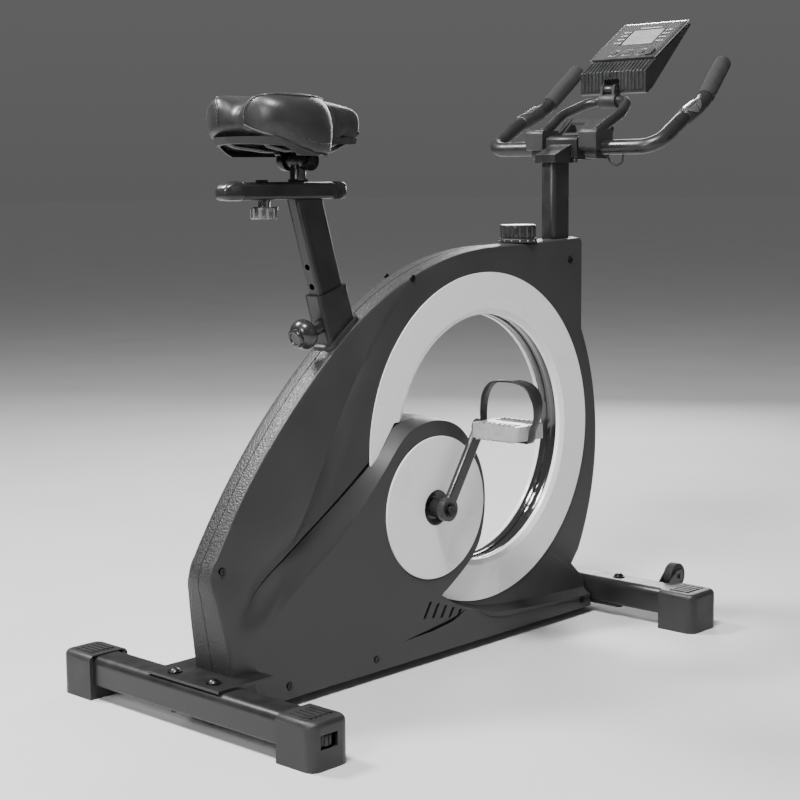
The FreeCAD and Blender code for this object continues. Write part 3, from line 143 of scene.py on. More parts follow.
def make_floor():
    """Pale floor, far larger than the view, so that it meets the backdrop softly."""
    mesh = bpy.data.meshes.new("floor")
    corners = [(x * FLOOR_REACH, y * FLOOR_REACH, 0.0) for x, y in ((-1, -1), (1, -1), (1, 1), (-1, 1))]
    mesh.from_pydata(corners, [], [(0, 1, 2, 3)])
    floor = new_object("floor", mesh)
    paint = Paint("floor_paint", (0.60, 0.60, 0.60), 0.7, specular=0.2)
    paint.mottle(2.4, 0.03, 0.05)
    mesh.materials.append(paint.material)


# ---- materials ------------------------------------------------------------------------------


class Paint:
    """A principled material whose variation comes from procedural nodes in object space."""

    def __init__(self, name, colour, rough, metal=0.0, specular=0.5, coat=0.0, coat_rough=0.05, sheen=0.0,
                 clear=0.0):
        self.material = bpy.data.materials.new(name)
        self.material.use_nodes = True
        self.tree = self.material.node_tree
        self.shader = self.tree.nodes["Principled BSDF"]
        self.colour = (*colour, 1.0)
        self.rough = rough
        set_inputs(self.shader, {"Base Color": self.colour, "Roughness": rough, "Metallic": metal,
                                 "Specular IOR Level": specular, "Coat Weight": coat,
                                 "Coat Roughness": coat_rough, "Sheen Weight": sheen,
                                 "Transmission Weight": clear})
        self.spot = self.tree.nodes.new("ShaderNodeTexCoord")
        self.normal = None

    def node(self, kind, **values):
        made = self.tree.nodes.new(kind)
        for key, value in values.items():
            setattr(made, key, value)
        return made

    def link(self, start, end):
        self.tree.links.new(start, end)

    def noise(self, scale, detail=3.0, stretch=None):
        made = self.node("ShaderNodeTexNoise")
        set_inputs(made, {"Scale": scale, "Detail": detail})
        self.link(self.coordinates(stretch), made.inputs["Vector"])
        return made.outputs["Fac"]

    def coordinates(self, stretch):
        if stretch is None:
            return self.spot.outputs["Object"]
        scaled = self.node("ShaderNodeMapping")
        scaled.inputs["Scale"].default_value = stretch
        self.link(self.spot.outputs["Object"], scaled.inputs["Vector"])
        return scaled.outputs["Vector"]

    def spread(self, value, low, high, start=0.0, end=1.0):
        made = self.node("ShaderNodeMapRange")
        set_inputs(made, {"From Min": start, "From Max": end, "To Min": low, "To Max": high})
        self.link(value, made.inputs["Value"])
        return made.outputs["Result"]

    def mottle(self, scale, shade=0.12, rough=0.08, detail=4.0, stretch=None):
        """Cloudy change of colour and roughness, at about scale spots to the metre."""
        clouds = self.noise(scale, detail, stretch)
        base = self.blend_colour(clouds, [c * (1.0 - shade) for c in self.colour[:3]],
                                 [min(1.0, c * (1.0 + shade)) for c in self.colour[:3]], 0.3, 0.7)
        self.link(base, self.shader.inputs["Base Color"])
        self.link(self.spread(clouds, max(0.02, self.rough - rough), min(1.0, self.rough + rough), 0.3, 0.7),
                  self.shader.inputs["Roughness"])
        return self

    def blend_colour(self, value, first, second, start=0.0, end=1.0):
        made = self.node("ShaderNodeMix", data_type="RGBA")
        for socket, colour in (("A", first), ("B", second)):
            target = next(s for s in made.inputs if s.name == socket and s.type == "RGBA")
            if isinstance(colour, bpy.types.NodeSocket):
                self.link(colour, target)
            else:
                target.default_value = (*colour[:3], 1.0)
        self.link(self.spread(value, 0.0, 1.0, start, end), made.inputs["Factor"])
        return next(s for s in made.outputs if s.type == "RGBA")

    def bump(self, height, strength, depth):
        """Adds a bump to the ones before it. depth is in metres."""
        made = self.node("ShaderNodeBump")
        set_inputs(made, {"Strength": strength, "Distance": depth})
        self.link(height, made.inputs["Height"])
        if self.normal is not None:
            self.link(self.normal, made.inputs["Normal"])
        self.normal = made.outputs["Normal"]
        self.link(self.normal, self.shader.inputs["Normal"])
        return self

    def grain(self, pitch, depth, strength=0.5):
        """Moulded texture of rounded pits, pitch metres apart."""
        cells = self.node("ShaderNodeTexVoronoi", feature="SMOOTH_F1")
        set_inputs(cells, {"Scale": 1.0 / pitch, "Smoothness": 0.6})
        self.link(self.spot.outputs["Object"], cells.inputs["Vector"])
        return self.bump(cells.outputs["Distance"], strength, depth)

    def peel(self, pitch, depth, strength=0.3):
        """Slight waviness of a sprayed or moulded surface."""
        return self.bump(self.noise(1.0 / pitch, 2.0), strength, depth)

    def edge_wear_and_highlight(self, colour, reach=0.0012, amount=0.5):
        """Lighter edges, found by comparing the real normal with one rounded over reach: rubbed wear on the
        frame and cranks, a painted highlight on the console case.
        """
        rounded = self.node("ShaderNodeBevel", samples=4)
        rounded.inputs["Radius"].default_value = reach
        plain = self.node("ShaderNodeNewGeometry")
        same = self.node("ShaderNodeVectorMath", operation="DOT_PRODUCT")
        self.link(rounded.outputs["Normal"], same.inputs[0])
        self.link(plain.outputs["Normal"], same.inputs[1])
        broken = self.node("ShaderNodeMath", operation="MULTIPLY")
        self.link(self.spread(same.outputs["Value"], 1.0, 0.0, 0.55, 0.98), broken.inputs[0])
        self.link(self.spread(self.noise(420.0, 5.0), 0.0, amount, 0.42, 0.62), broken.inputs[1])
        base = self.shader.inputs["Base Color"]
        before = base.links[0].from_socket if base.links else self.colour
        self.link(self.blend_colour(broken.outputs["Value"], before, colour), base)
        return self


def make_paints():
    """One material for each finish of the bike."""
    paints = {}

    def add(name, *args, **values):
        paints[name] = Paint(name, *args, **values)
        return paints[name]

    add("shell_plastic", (0.025, 0.025, 0.0262), 0.45).mottle(9.0, 0.14, 0.06).grain(0.0009, 0.00006, 0.35)
    add("spine_plastic", (0.024, 0.024, 0.025), 0.46).mottle(420.0, 0.5, 0.14, 2.0).grain(0.0032, 0.0007, 1.0)
    add("ring_gloss", (0.80, 0.80, 0.80), 0.26, coat=0.5, coat_rough=0.12).mottle(5.0, 0.02, 0.05)
    paints["ring_gloss"].peel(0.03, 0.0003, 0.08)
    add("disc_gloss", (0.78, 0.78, 0.78), 0.3, coat=0.3, coat_rough=0.15).mottle(7.0, 0.025, 0.06)
    add("liner_gloss", (0.012, 0.012, 0.013), 0.16, coat=0.6).mottle(20.0, 0.2, 0.06)
    add("frame_paint", (0.012, 0.012, 0.0125), 0.36).mottle(30.0, 0.2, 0.07).peel(0.0016, 0.00008, 0.3)
    paints["frame_paint"].edge_wear_and_highlight((0.11, 0.11, 0.11), amount=0.35)
    add("bar_paint", (0.014, 0.014, 0.0145), 0.33).mottle(24.0, 0.2, 0.07).peel(0.0016, 0.00006, 0.25)
    add("cap_plastic", (0.014, 0.014, 0.0145), 0.5).mottle(40.0, 0.2, 0.08).grain(0.0008, 0.00008, 0.4)
    add("knob_plastic", (0.016, 0.016, 0.017), 0.24, coat=0.2).mottle(50.0, 0.2, 0.08)
    add("rubber", (0.016, 0.016, 0.016), 0.7).mottle(50.0, 0.25, 0.08).peel(0.001, 0.0001, 0.4)
    add("zinc", (0.50, 0.50, 0.51), 0.34, metal=1.0).mottle(160.0, 0.18, 0.12)
    add("dark_zinc", (0.14, 0.14, 0.145), 0.38, metal=1.0).mottle(160.0, 0.25, 0.12)
    add("dark_bolt", (0.035, 0.035, 0.036), 0.3, metal=0.9).mottle(160.0, 0.25, 0.12)
    add("knob_metal", (0.20, 0.20, 0.205), 0.2, metal=0.8, coat=0.3).mottle(90.0, 0.2, 0.08)
    add("tray_black", (0.010, 0.010, 0.010), 0.5).mottle(60.0, 0.25, 0.08).grain(0.0009, 0.00008, 0.3)
    add("screen_glass", (0.24, 0.245, 0.24), 0.3, coat=0.4).mottle(34.0, 0.07, 0.06)
    add("print_ink", (0.42, 0.42, 0.43), 0.5).mottle(500.0, 0.2, 0.1)
    add("bright_trim", (0.66, 0.66, 0.67), 0.2, metal=0.9).mottle(70.0, 0.08, 0.06)
    add("crank_paint", (0.018, 0.018, 0.019), 0.3, coat=0.25).mottle(30.0, 0.2, 0.08)
    paints["crank_paint"].peel(0.0015, 0.00008, 0.3).edge_wear_and_highlight((0.16, 0.16, 0.16), amount=0.4)
    add("iron", (0.16, 0.16, 0.16), 0.42, metal=1.0).mottle(70.0, 0.3, 0.12).peel(0.002, 0.0002, 0.4)
    add("pedal_resin", (0.60, 0.60, 0.61), 0.12, clear=0.45).mottle(120.0, 0.12, 0.08)
    paints["pedal_resin"].peel(0.003, 0.0006, 0.5)
    add("strap_plastic", (0.014, 0.014, 0.014), 0.4).mottle(60.0, 0.25, 0.1)
    add("vinyl", (0.012, 0.012, 0.0125), 0.38, sheen=0.04).mottle(30.0, 0.2, 0.06).grain(0.0013, 0.00012, 0.4)
    add("vinyl_seam", (0.030, 0.030, 0.031), 0.3).mottle(80.0, 0.2, 0.08)
    add("thread", (0.045, 0.045, 0.045), 0.7).mottle(300.0, 0.3, 0.1)
    add("foam", (0.018, 0.018, 0.018), 0.86).mottle(60.0, 0.25, 0.06).grain(0.0011, 0.0003, 0.7)
    add("sensor_steel", (0.72, 0.72, 0.73), 0.22, metal=1.0).mottle(40.0, 0.06, 0.08, stretch=(1, 1, 14))
    add("panel_silver", (0.040, 0.040, 0.042), 0.36, metal=0.2).mottle(30.0, 0.08, 0.06)
    add("tray_grey", (0.022, 0.022, 0.023), 0.42).mottle(24.0, 0.12, 0.07).grain(0.0009, 0.00008, 0.35)
    add("console_case", (0.016, 0.016, 0.017), 0.34).mottle(30.0, 0.2, 0.07).grain(0.0008, 0.00006, 0.3)
    # The console case's lighter edges are a painted highlight along its ribs and edges.
    paints["console_case"].edge_wear_and_highlight((0.30, 0.30, 0.30), 0.0016, 0.9)
    return paints


def both(*names):
    return [name + side for name in names for side in ("_right", "_left")]


NODE_PAINTS = {
    "frame_paint": ["base_frame", "handlebar_post", "rear_stabiliser", "front_stabiliser", "seat_post",
                    "seat_rail", "handlebar_clamp"],
    "bar_paint": ["handlebar_tube", "handlebar_hoop"],
    "shell_plastic": both("housing"),
    "spine_plastic": ["spine_cover"],
    "ring_gloss": both("ring_trim"),
    "disc_gloss": both("crank_disc"),
    "liner_gloss": ["ring_liner"],
    "cap_plastic": ["stabiliser_caps", "console_mount", "seat_collar", "knob_base", *both("leveller")],
    "tray_black": ["saddle_shell"],
    "knob_plastic": ["pop_pin", "resistance_knob", "rail_plugs"],
    "knob_metal": ["slider_knob"],
    "dark_bolt": ["fasteners", "saddle_clamp", "crank_axle", "seat_slider"],
    "rubber": ["drive_belt", "tension_cable", "sensor_lead", *both("transport_wheel")],
    "dark_zinc": ["saddle_rails", "magnet_bracket"],
    "zinc": ["bearings", "drive_axles", "pedal_spindles", "flywheel_pulley"],
    "crank_paint": ["crank_pulley", *both("crank_arm")],
    "iron": ["flywheel"],
    "pedal_resin": both("pedal"),
    "strap_plastic": both("toe_cage"),
    "vinyl": ["saddle_cushion"],
    "foam": ["grips"],
    "sensor_steel": ["pulse_sensors"],
    "tray_grey": ["handlebar_tray"],
    "console_case": ["console_body"],
    "panel_silver": ["console_panel", "console_button_left", "console_button_middle", "console_button_right"],
}


def paint_nodes(paints):
    for paint, nodes in NODE_PAINTS.items():
        for node in nodes:
            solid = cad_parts[node]
            solid.data.materials.clear()
            solid.data.materials.append(paints[paint].material)


# Width of the softened edges, in millimetres
SOFT_EDGES = {
    0.4: ["seat_post", "fasteners", *both("crank_disc")],
    0.5: ["handlebar_post", "ring_liner", "knob_base", "crank_axle", "seat_slider",
          *both("ring_trim", "leveller")],
    0.6: ["base_frame", "seat_rail", "saddle_clamp", "console_mount"],
    0.7: ["slider_knob", *both("pedal", "transport_wheel")],
    0.8: ["flywheel"],
    0.9: ["stabiliser_caps", "resistance_knob", "seat_collar", *both("crank_arm")],
    1.0: ["handlebar_clamp", "handlebar_tray", "console_body"],
}
EDGE_ANGLE = math.radians(32.0)


def soften_edges():
    """Rounds the sharp edges of the hard parts a little, so that they catch the light."""
    for width, nodes in SOFT_EDGES.items():
        for node in nodes:
            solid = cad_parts[node]
            solid.modifiers.new("weld", "WELD").merge_threshold = 1e-6
            bevel = solid.modifiers.new("bevel", "BEVEL")
            bevel.width = width * MM
            bevel.segments = 2
            bevel.limit_method = "ANGLE"
            bevel.angle_limit = EDGE_ANGLE
            bevel.use_clamp_overlap = True
            bevel.harden_normals = True


# ---- mesh helpers ---------------------------------------------------------------------------


def add_piece(name, corners, faces, paint, body, replaces=(), smooth=35.0):
    """A new mesh piece from corners in crank millimetres. smooth is the crease angle in degrees."""
    mesh = bpy.data.meshes.new(name)
    spots = np.asarray(corners, dtype=float) * MM
    spots[:, 0] += CRANK_X
    mesh.from_pydata(spots.tolist(), [], [tuple(int(i) for i in f) for f in faces])
    mesh.materials.append(paint.material)
    piece = new_object(name, mesh)
    tidy_normals(mesh)
    if smooth:
        mesh.shade_smooth()
        mesh.set_sharp_from_angle(angle=math.radians(smooth))
    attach(piece, body)
    if replaces:
        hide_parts(*replaces)
    return piece


def loft_faces(rows, count, loop=False, wrap=True, caps=False):
    """Quads between rows of count points. wrap closes each row, loop joins the last row to the first."""
    faces = []
    for row in range(rows if loop else rows - 1):
        here, there = row * count, (row + 1) % rows * count
        for k in range(count if wrap else count - 1):
            after = (k + 1) % count
            faces.append((here + k, here + after, there + after, there + k))
    if caps:
        faces.append(tuple(reversed(range(count))))
        faces.append(tuple((rows - 1) * count + k for k in range(count)))
    return faces


def pierce(piece, spot, way, across, outline, low, high):
    """Cuts a convex opening through a piece, along way. The outline is (across, sideways) from the spot."""
    way, across = way.normalized(), across.normalized()
    sideways = way.cross(across)
    centre = place(*spot)
    corners = [centre + (across * a + sideways * b) * MM for a, b in outline]
    planes = []
    for corner, following in zip(corners, corners[1:] + corners[:1]):
        outward = (following - corner).cross(way).normalized()
        planes.append((corner, outward if (corner - centre).dot(outward) > 0 else -outward))
    reach = max((corner - centre).length for corner in corners) + 30.0 * MM
    work = bmesh.new()
    work.from_mesh(piece.data)

    def close(point):
        along_way = (point - centre).dot(way)
        return low * MM < along_way < high * MM and (point - centre - way * along_way).length < reach

    for corner, outward in planes:
        faces = [f for f in work.faces if close(f.calc_center_median())]
        parts = {part for f in faces for part in [f, *f.edges, *f.verts]}
        bmesh.ops.bisect_plane(work, geom=list(parts), dist=1e-7, plane_co=corner, plane_no=outward)
    inside = [f for f in work.faces if close(f.calc_center_median())
              and all((f.calc_center_median() - c).dot(n) < 0 for c, n in planes)]
    bmesh.ops.delete(work, geom=inside, context="FACES")
    work.to_mesh(piece.data)
    work.free()
    piece.data.update()


def round_outline(radius, sides=24):
    return [(radius * math.cos(math.tau * k / sides), radius * math.sin(math.tau * k / sides))
            for k in range(sides)]


def box_outline(half_across, half_sideways):
    return [(half_across, half_sideways), (-half_across, half_sideways), (-half_across, -half_sideways),
            (half_across, -half_sideways)]


def tidy_normals(mesh):
    work = bmesh.new()
    work.from_mesh(mesh)
    bmesh.ops.remove_doubles(work, verts=work.verts, dist=1e-6)
    bmesh.ops.delete(work, geom=[v for v in work.verts if not v.link_faces], context="VERTS")
    bmesh.ops.recalc_face_normals(work, faces=work.faces)
    work.to_mesh(mesh)
    work.free()
    mesh.update()


def arc(start, middle, end, count):
    """Points of the circle's arc through three points, without the last one."""
    (ax, ay), (bx, by), (cx, cy) = start, middle, end
    d = 2 * (ax * (by - cy) + bx * (cy - ay) + cx * (ay - by))
    ux = ((ax**2 + ay**2) * (by - cy) + (bx**2 + by**2) * (cy - ay) + (cx**2 + cy**2) * (ay - by)) / d
    uy = ((ax**2 + ay**2) * (cx - bx) + (bx**2 + by**2) * (ax - cx) + (cx**2 + cy**2) * (bx - ax)) / d
    radius = math.hypot(ax - ux, ay - uy)
    first, mid, last = (math.atan2(y - uy, x - ux) for x, y in (start, middle, end))
    turn = (last - first) % math.tau
    if (mid - first) % math.tau > turn:
        turn -= math.tau
    angles = [first + turn * k / count for k in range(count)]
    return [(ux + radius * math.cos(angle), uy + radius * math.sin(angle)) for angle in angles]


def resample(points, pitch, closed):
    """Points about pitch apart along a line of straight runs; corners are kept."""
    line = np.asarray(points, dtype=float)
    if closed:
        line = np.vstack([line, line[:1]])
    out = []
    for a, b in zip(line[:-1], line[1:]):
        steps = max(1, int(round(np.linalg.norm(b - a) / pitch)))
        out += [a + (b - a) * k / steps for k in range(steps)]
    return np.array(out if closed else out + [line[-1]])


def smooth_line(points, count, closed=False):
    """Catmull-Rom curve through the points, count steps to each span."""
    line = np.asarray(points, dtype=float)
    n = len(line)
    spans = n if closed else n - 1
    out = []
    for i in range(spans):
        a, b, c, d = (line[j % n] if closed else line[min(max(j, 0), n - 1)] for j in range(i - 1, i + 3))
        for k in range(count):
            t = k / count
            out.append(0.5 * (2 * b + (c - a) * t + (2 * a - 5 * b + 4 * c - d) * t**2
                              + (3 * b - a - 3 * c + d) * t**3))
    return np.array(out if closed else out + [line[-1]])


def gap_to(points, line, closed=True):
    """Shortest distance from each point to a line."""
    ends = np.vstack([line, line[:1]]) if closed else line
    best = np.full(len(points), 1e9)
    for a, b in zip(ends[:-1], ends[1:]):
        run = b - a
        share = np.clip(((points - a) @ run) / max(run @ run, 1e-12), 0.0, 1.0)
        best = np.minimum(best, np.linalg.norm(points - (a + share[:, None] * run), axis=1))
    return best


def within(points, polygon):
    """Which points lie inside a closed polygon."""
    x, y = points[:, 0], points[:, 1]
    result = np.zeros(len(points), dtype=bool)
    for (x1, y1), (x2, y2) in zip(polygon, np.roll(polygon, -1, axis=0)):
        if y1 == y2:
            continue
        crosses = (y1 > y) != (y2 > y)
        result ^= crosses & (x < (x2 - x1) * (y - y1) / (y2 - y1) + x1)
    return result


def inset_line(line, distance):
    """Closed line moved inwards by distance. The line runs clockwise seen with X right and Z up."""
    before = line - np.roll(line, 1, axis=0)
    after = np.roll(line, -1, axis=0) - line
    way = before / np.linalg.norm(before, axis=1)[:, None] + after / np.linalg.norm(after, axis=1)[:, None]
    way /= np.linalg.norm(way, axis=1)[:, None]
    side = np.stack([way[:, 1], -way[:, 0]], axis=1)
    return line + side * distance


# ---- casing ---------------------------------------------------------------------------------

BOTTOM_Z = 12.0
REAR_FOOT = (-428.0, BOTTOM_Z)
REAR_LOW = (-459.0, 190.0)
REAR_CORNER = (-461.5, 216.0)
REAR_HIGH = (-450.0, 243.0)
BACK_MID = (-335.0, 403.0)
BACK_TOP = (-216.0, 519.0)
ARCH_MID = (-35.0, 631.0)
ARCH_END = (200.0, 673.0)
TOP_FRONT = (397.0, 681.0)
TOP_ROUND = (408.0, 678.0)
FRONT_TOP = (411.0, 668.0)
FRONT_STEP = (411.0, 520.0)
FRONT_BULGE = (456.0, 330.0)
FRONT_LOW = (406.0, 118.0)
ANKLE = (386.0, 95.0)
TOE_TOP = (416.0, 68.0)
TOE = (424.0, 56.0)
FRONT_FOOT = (424.0, BOTTOM_Z)

RING_X, RING_Z = 143.0, 354.0
RING_OUTER_R = 277.6
RING_CUT_R = 216.0
CRANK_Z = 257.0
PIN_SPOT = Vector((-185.1, 0.0, 572.0))
PIN_WAY = Vector((-0.9588, 0.0, -0.2840))
DISC_R = 117.0
BORE_R = 30.0
BORE_WALL = 5.0
SLEEVE_HOLE = (31.5, 18.5)
POST_HOLE = (26.5, 16.5)
STEM_HOLE_R = 8.0
HOLE_Z = 670.0
SEAM_HALF = 0.9
SEAM_DEPTH = 2.0
SEAM_STEPS = (-0.4, SEAM_HALF, 2.2)
PLATE_HALF = 28.0
COVER_HALF = 46.0
SPINE_HALF = 25.0
SPINE_FOOT_HALF = 45.0

spine_line = ([REAR_FOOT] + arc(REAR_LOW, REAR_CORNER, REAR_HIGH, 8) + arc(REAR_HIGH, BACK_MID, BACK_TOP, 24)
              + arc(BACK_TOP, ARCH_MID, ARCH_END, 32) + [ARCH_END] + arc(TOP_FRONT, TOP_ROUND, FRONT_TOP, 6)
              + [FRONT_TOP])
front_line = ([(FRONT_TOP[0], FRONT_TOP[1] - 2.0)] + arc(FRONT_STEP, FRONT_BULGE, FRONT_LOW, 32)
              + [FRONT_LOW, ANKLE, TOE_TOP, TOE, FRONT_FOOT])

# The crest of the leaf-shaped face beside the spine: point on the outline, distance to the crest, its height
LEAF = [
    ((-55.0, 622.0), 8.0, 28.5), ((-122.0, 590.0), 32.0, 33.0), ((-231.0, 505.0), 59.0, 40.0),
    ((-320.0, 420.0), 92.0, 45.0), ((-396.0, 320.0), 110.0, 46.0), ((-450.0, 243.0), 124.0, 46.0),
    ((-459.0, 185.0), 95.0, 46.5), ((-447.0, 110.0), 70.0, 47.0), ((-430.0, 20.0), 45.0, 47.0),
]
LEAF_WAY = (0.71, -0.704)
LEAF_RUN = 56.0

# Lower cover: where it leaves the side plate (far) and where its flat face begins (near)
COVER_FAR = [
    (-436.0, 84.0), (-442.0, 130.0), (-391.0, 176.0), (-350.0, 208.0), (-292.0, 242.0), (-201.0, 297.0),
    (-121.0, 352.0), (-81.0, 396.0), (-36.0, 406.0), (14.0, 403.0), (64.0, 385.0), (106.0, 340.0),
    (124.0, 290.0), (126.0, 235.0), (112.0, 182.0), (78.0, 145.0), (17.0, 112.0), (60.0, 86.0),
    (109.0, 72.0), (161.0, 62.0), (285.0, 52.0), (420.0, 46.0),
]
COVER_NEAR = [
    (-398.0, 60.0), (-385.0, 112.0), (-335.0, 160.0), (-280.0, 200.0), (-219.0, 240.0),
    (-140.0, 312.0), (-76.0, 378.0), (-36.0, 396.0), (11.0, 399.0), (60.0, 381.0), (100.0, 335.0),
    (119.0, 288.0), (121.0, 235.0), (107.0, 184.0), (74.0, 148.0), (12.0, 108.0), (62.0, 80.0),
    (109.0, 64.0), (161.0, 52.0), (285.0, 42.0), (416.0, 36.0),
]
COVER_SHARP = (17.0, 112.0)
NEAR_SHARP = (12.0, 108.0)
SCREW_SPOTS = [(-442.0, 226.0), (-330.0, 34.0), (-142.0, 34.0), (-33.0, 630.0), (392.0, 30.0), (376.0, 643.0)]
VENT_COUNT = 5
VENT_START = (-14.0, 103.0)
VENT_END = (60.0, 77.0)
VENT_LONG = 30.0
VENT_SHORT = 15.0
VENT_HALF = 3.6
WEDGE = [(-78.0, 50.0), (-10.0, 59.0), (40.0, 66.0), (76.0, 74.0), (40.0, 59.5), (-10.0, 53.0)]
CREASE = [(106.0, 66.0), (161.0, 44.0), (285.0, 38.0), (417.0, 30.0)]
FOOT_CREASE = [(291.0, 135.0), (330.0, 118.0), (360.0, 98.0), (405.0, 66.0)]
GROOVE_DEPTH = 7.0
GROOVE_WIDTHS = [(-400.0, 0.0), (-370.0, 1.8), (-240.0, 3.6), (-110.0, 7.0), (-60.0, 4.0), (-20.0, 0.0)]
HOLLOW_REACH = 24.0
COVER_REAR_X = -380.0
SLOT_DEPTH = 6.0
WALL_RUN = 0.35
SCREW_WELL_R = 6.4
EDGE_R = 3.2
MESH_PITCH = 7.0


def cover_line(points, sharp, foot_x, toe_x):
    """Closed line of the lower cover: smooth over its arch, square at the casing's bottom."""
    turn = points.index(sharp)
    upper = smooth_line(points[:turn + 1], 6)
    lower = smooth_line(points[turn:], 6)
    return np.vstack([[(foot_x, BOTTOM_Z + 2.0)], upper, lower[1:], [(toe_x, BOTTOM_Z + 2.0)]])


def leaf_shape(points):
    """Height of the leaf face over the side plate, at points (x, z)."""
    way = np.array(LEAF_WAY)
    side = np.array([-way[1], way[0]])
    edges = np.array([e[0] for e in LEAF])
    level = edges @ side
    order = np.argsort(level)
    widths, heights = [e[1] for e in LEAF], [e[2] for e in LEAF]
    table = smooth_line(np.column_stack([level, edges @ way, widths, heights])[order], 8)
    v = points @ side
    edge, width, crest = (np.interp(v, table[:, 0], table[:, k]) for k in (1, 2, 3))
    ends = np.clip((v - table[0, 0] + 30.0) / 30.0, 0.0, 1.0)
    ends = ends * np.clip((table[-1, 0] + 40.0 - v) / 40.0, 0.0, 1.0)
    ends = np.maximum(ends, (points[:, 1] < 60.0) * 1.0)
    d = points @ way - edge
    rim = edge_half(points[:, 1])
    rise = rim + (np.maximum(crest, rim) - rim) * np.clip(d / width, 0.0, 1.0)
    share = np.clip((d - width) / LEAF_RUN, 0.0, 1.0)
    fall = rise + (PLATE_HALF - rise) * (1.0 - (1.0 - share) ** 1.7)
    height = np.where(d > width, fall, rise)
    return PLATE_HALF + (height - PLATE_HALF) * ends


def edge_half(z):
    """Half width of the spine strip at a height: it widens below the rear corner."""
    share = np.clip((216.0 - z) / 204.0, 0.0, 1.0)
    return SPINE_HALF + 0.6 + (SPINE_FOOT_HALF - SPINE_HALF) * share**0.75


class Casing:
    """The right half of the casing as a height over the plane of symmetry."""

    def __init__(self):
        self.rim = resample(spine_line + front_line, 6.0, True)
        self.hole = self.circle(RING_X, RING_Z, RING_CUT_R)
        self.far = resample(cover_line(COVER_FAR, COVER_SHARP, -425.0, 420.0), 6.0, True)
        self.near = resample(cover_line(COVER_NEAR, NEAR_SHARP, -400.0, 419.0), 6.0, True)
        self.slots = [self.vent(k) for k in range(VENT_COUNT)] + [resample(WEDGE, 8.0, True)]
        self.crease = smooth_line(CREASE, 6)
        self.foot_crease = smooth_line(FOOT_CREASE, 6)

    def vent(self, k):
        """Outline of one slanted slot."""
        share = k / (VENT_COUNT - 1)
        top = np.array(VENT_START) + (np.array(VENT_END) - np.array(VENT_START)) * share
        low = top + np.array([-0.52, -0.85]) * (VENT_LONG + (VENT_SHORT - VENT_LONG) * share)
        across = np.array([VENT_HALF, 0.0])
        return resample([top - across, top + across, low + across, low - across], 4.0, True)

    def groove(self, points):
        """Width of the groove outside the cover's far line: it opens towards the arch and ends before it."""
        wide = np.interp(points[:, 0], *np.array(GROOVE_WIDTHS).T)
        return wide * (points[:, 1] > 100.0)

    def height(self, points):
        base = leaf_shape(points)
        in_far, in_near = within(points, self.far), within(points, self.near)
        to_far, to_near = gap_to(points, self.far), gap_to(points, self.near)
        span = np.interp(points[:, 0], [-425.0, -385.0, -265.0, -225.0], [0.0, 1.0, 1.0, 0.0])
        level = np.interp(points[:, 1], [110.0, 150.0], [0.0, 1.0])
        base -= (base - PLATE_HALF) * 0.8 * span * level * np.exp(-(to_far / HOLLOW_REACH) ** 2)
        share = to_far / np.maximum(to_far + to_near, 1e-6)
        band = base * (1 - share) + np.maximum(COVER_HALF, base) * share
        flat = np.maximum(COVER_HALF, base * (points[:, 0] < COVER_REAR_X))
        h = np.where(in_near, flat, np.where(in_far, band, base))
        wide = self.groove(points)
        inside = np.minimum(to_far, wide - to_far)
        h -= GROOVE_DEPTH * np.clip(inside / WALL_RUN, 0.0, 1.0) * ~in_far * (wide > 0.3)
        ring = np.abs(np.hypot(points[:, 0] - RING_X, points[:, 1] - RING_Z) - RING_OUTER_R - SEAM_HALF)
        h -= SEAM_DEPTH * np.exp(-(ring / SEAM_HALF) ** 2) * ~in_far
        beyond = np.maximum(np.hypot(points[:, 0], points[:, 1] - CRANK_Z) - DISC_R - SEAM_HALF, 0.0)
        h -= SEAM_DEPTH * np.exp(-(beyond / SEAM_HALF) ** 2)
        for slot in self.slots:
            depth = np.where(within(points, slot), gap_to(points, slot), 0.0)
            h -= SLOT_DEPTH * np.clip(depth / WALL_RUN, 0.0, 1.0)
        for x, z in SCREW_SPOTS:
            h -= np.clip((SCREW_WELL_R - np.hypot(points[:, 0] - x, points[:, 1] - z)) * 4.0, 0.0, 2.4)
        for line, side in ((self.crease, 1.0), (self.foot_crease, -1.0)):
            h -= 1.6 * np.exp(-gap_to(points, line, False) / 5.0) * self.below(points, line, side)
        near_rim = gap_to(points, self.rim)
        inside = np.clip(EDGE_R - near_rim, 0.0, EDGE_R)
        return h - (EDGE_R - np.sqrt(np.maximum(EDGE_R**2 - inside**2, 0.0))) * 0.8

    def below(self, points, line, side):
        """1 for the points under a crease line, or over it with side -1, within its span."""
        level = np.interp(points[:, 0], line[:, 0], line[:, 1])
        span = (points[:, 0] >= line[0, 0]) & (points[:, 0] <= line[-1, 0])
        return ((level - points[:, 1]) * side > 0.05) & span

    def points(self):
        """All constraint lines as (points, closed)."""
        lines = [(inset_line(self.rim, d), True) for d in (0.0, 0.4, 1.3, EDGE_R)]
        lines.append((self.hole, True))
        circles = [(RING_X, RING_Z, RING_OUTER_R + step) for step in SEAM_STEPS]
        circles += [(0.0, CRANK_Z, radius) for radius in (BORE_R, *(DISC_R + step for step in SEAM_STEPS))]
        lines += [(self.circle(*circle), True) for circle in circles]
        wide = self.groove(self.far)
        walls = np.minimum(WALL_RUN, wide / 2), np.maximum(wide - WALL_RUN, wide / 2)
        for offset in (0.0 * wide, *walls, wide):
            lines.append((inset_line(self.far, -offset[:, None]), True))
        for offset in (0.0, 1.2):
            lines.append((inset_line(self.near, offset), True))
        for slot in self.slots:
            lines += [(slot, True), (inset_line(slot, WALL_RUN * 1.1), True)]
        for x, z in SCREW_SPOTS:
            lines += [(self.circle(x, z, r, 20), True) for r in (SCREW_WELL_R - 0.6, SCREW_WELL_R)]
        for line in (self.crease, self.foot_crease):
            lines += [(line, False), (line - np.array([0.0, 0.3]), False)]
        lines.append((resample(self.crest(), 5.0, False), False))
        return lines

    def circle(self, x, z, radius, count=225):
        angles = np.arange(count) * math.tau / count
        return np.column_stack([x + radius * np.cos(angles), z + radius * np.sin(angles)])

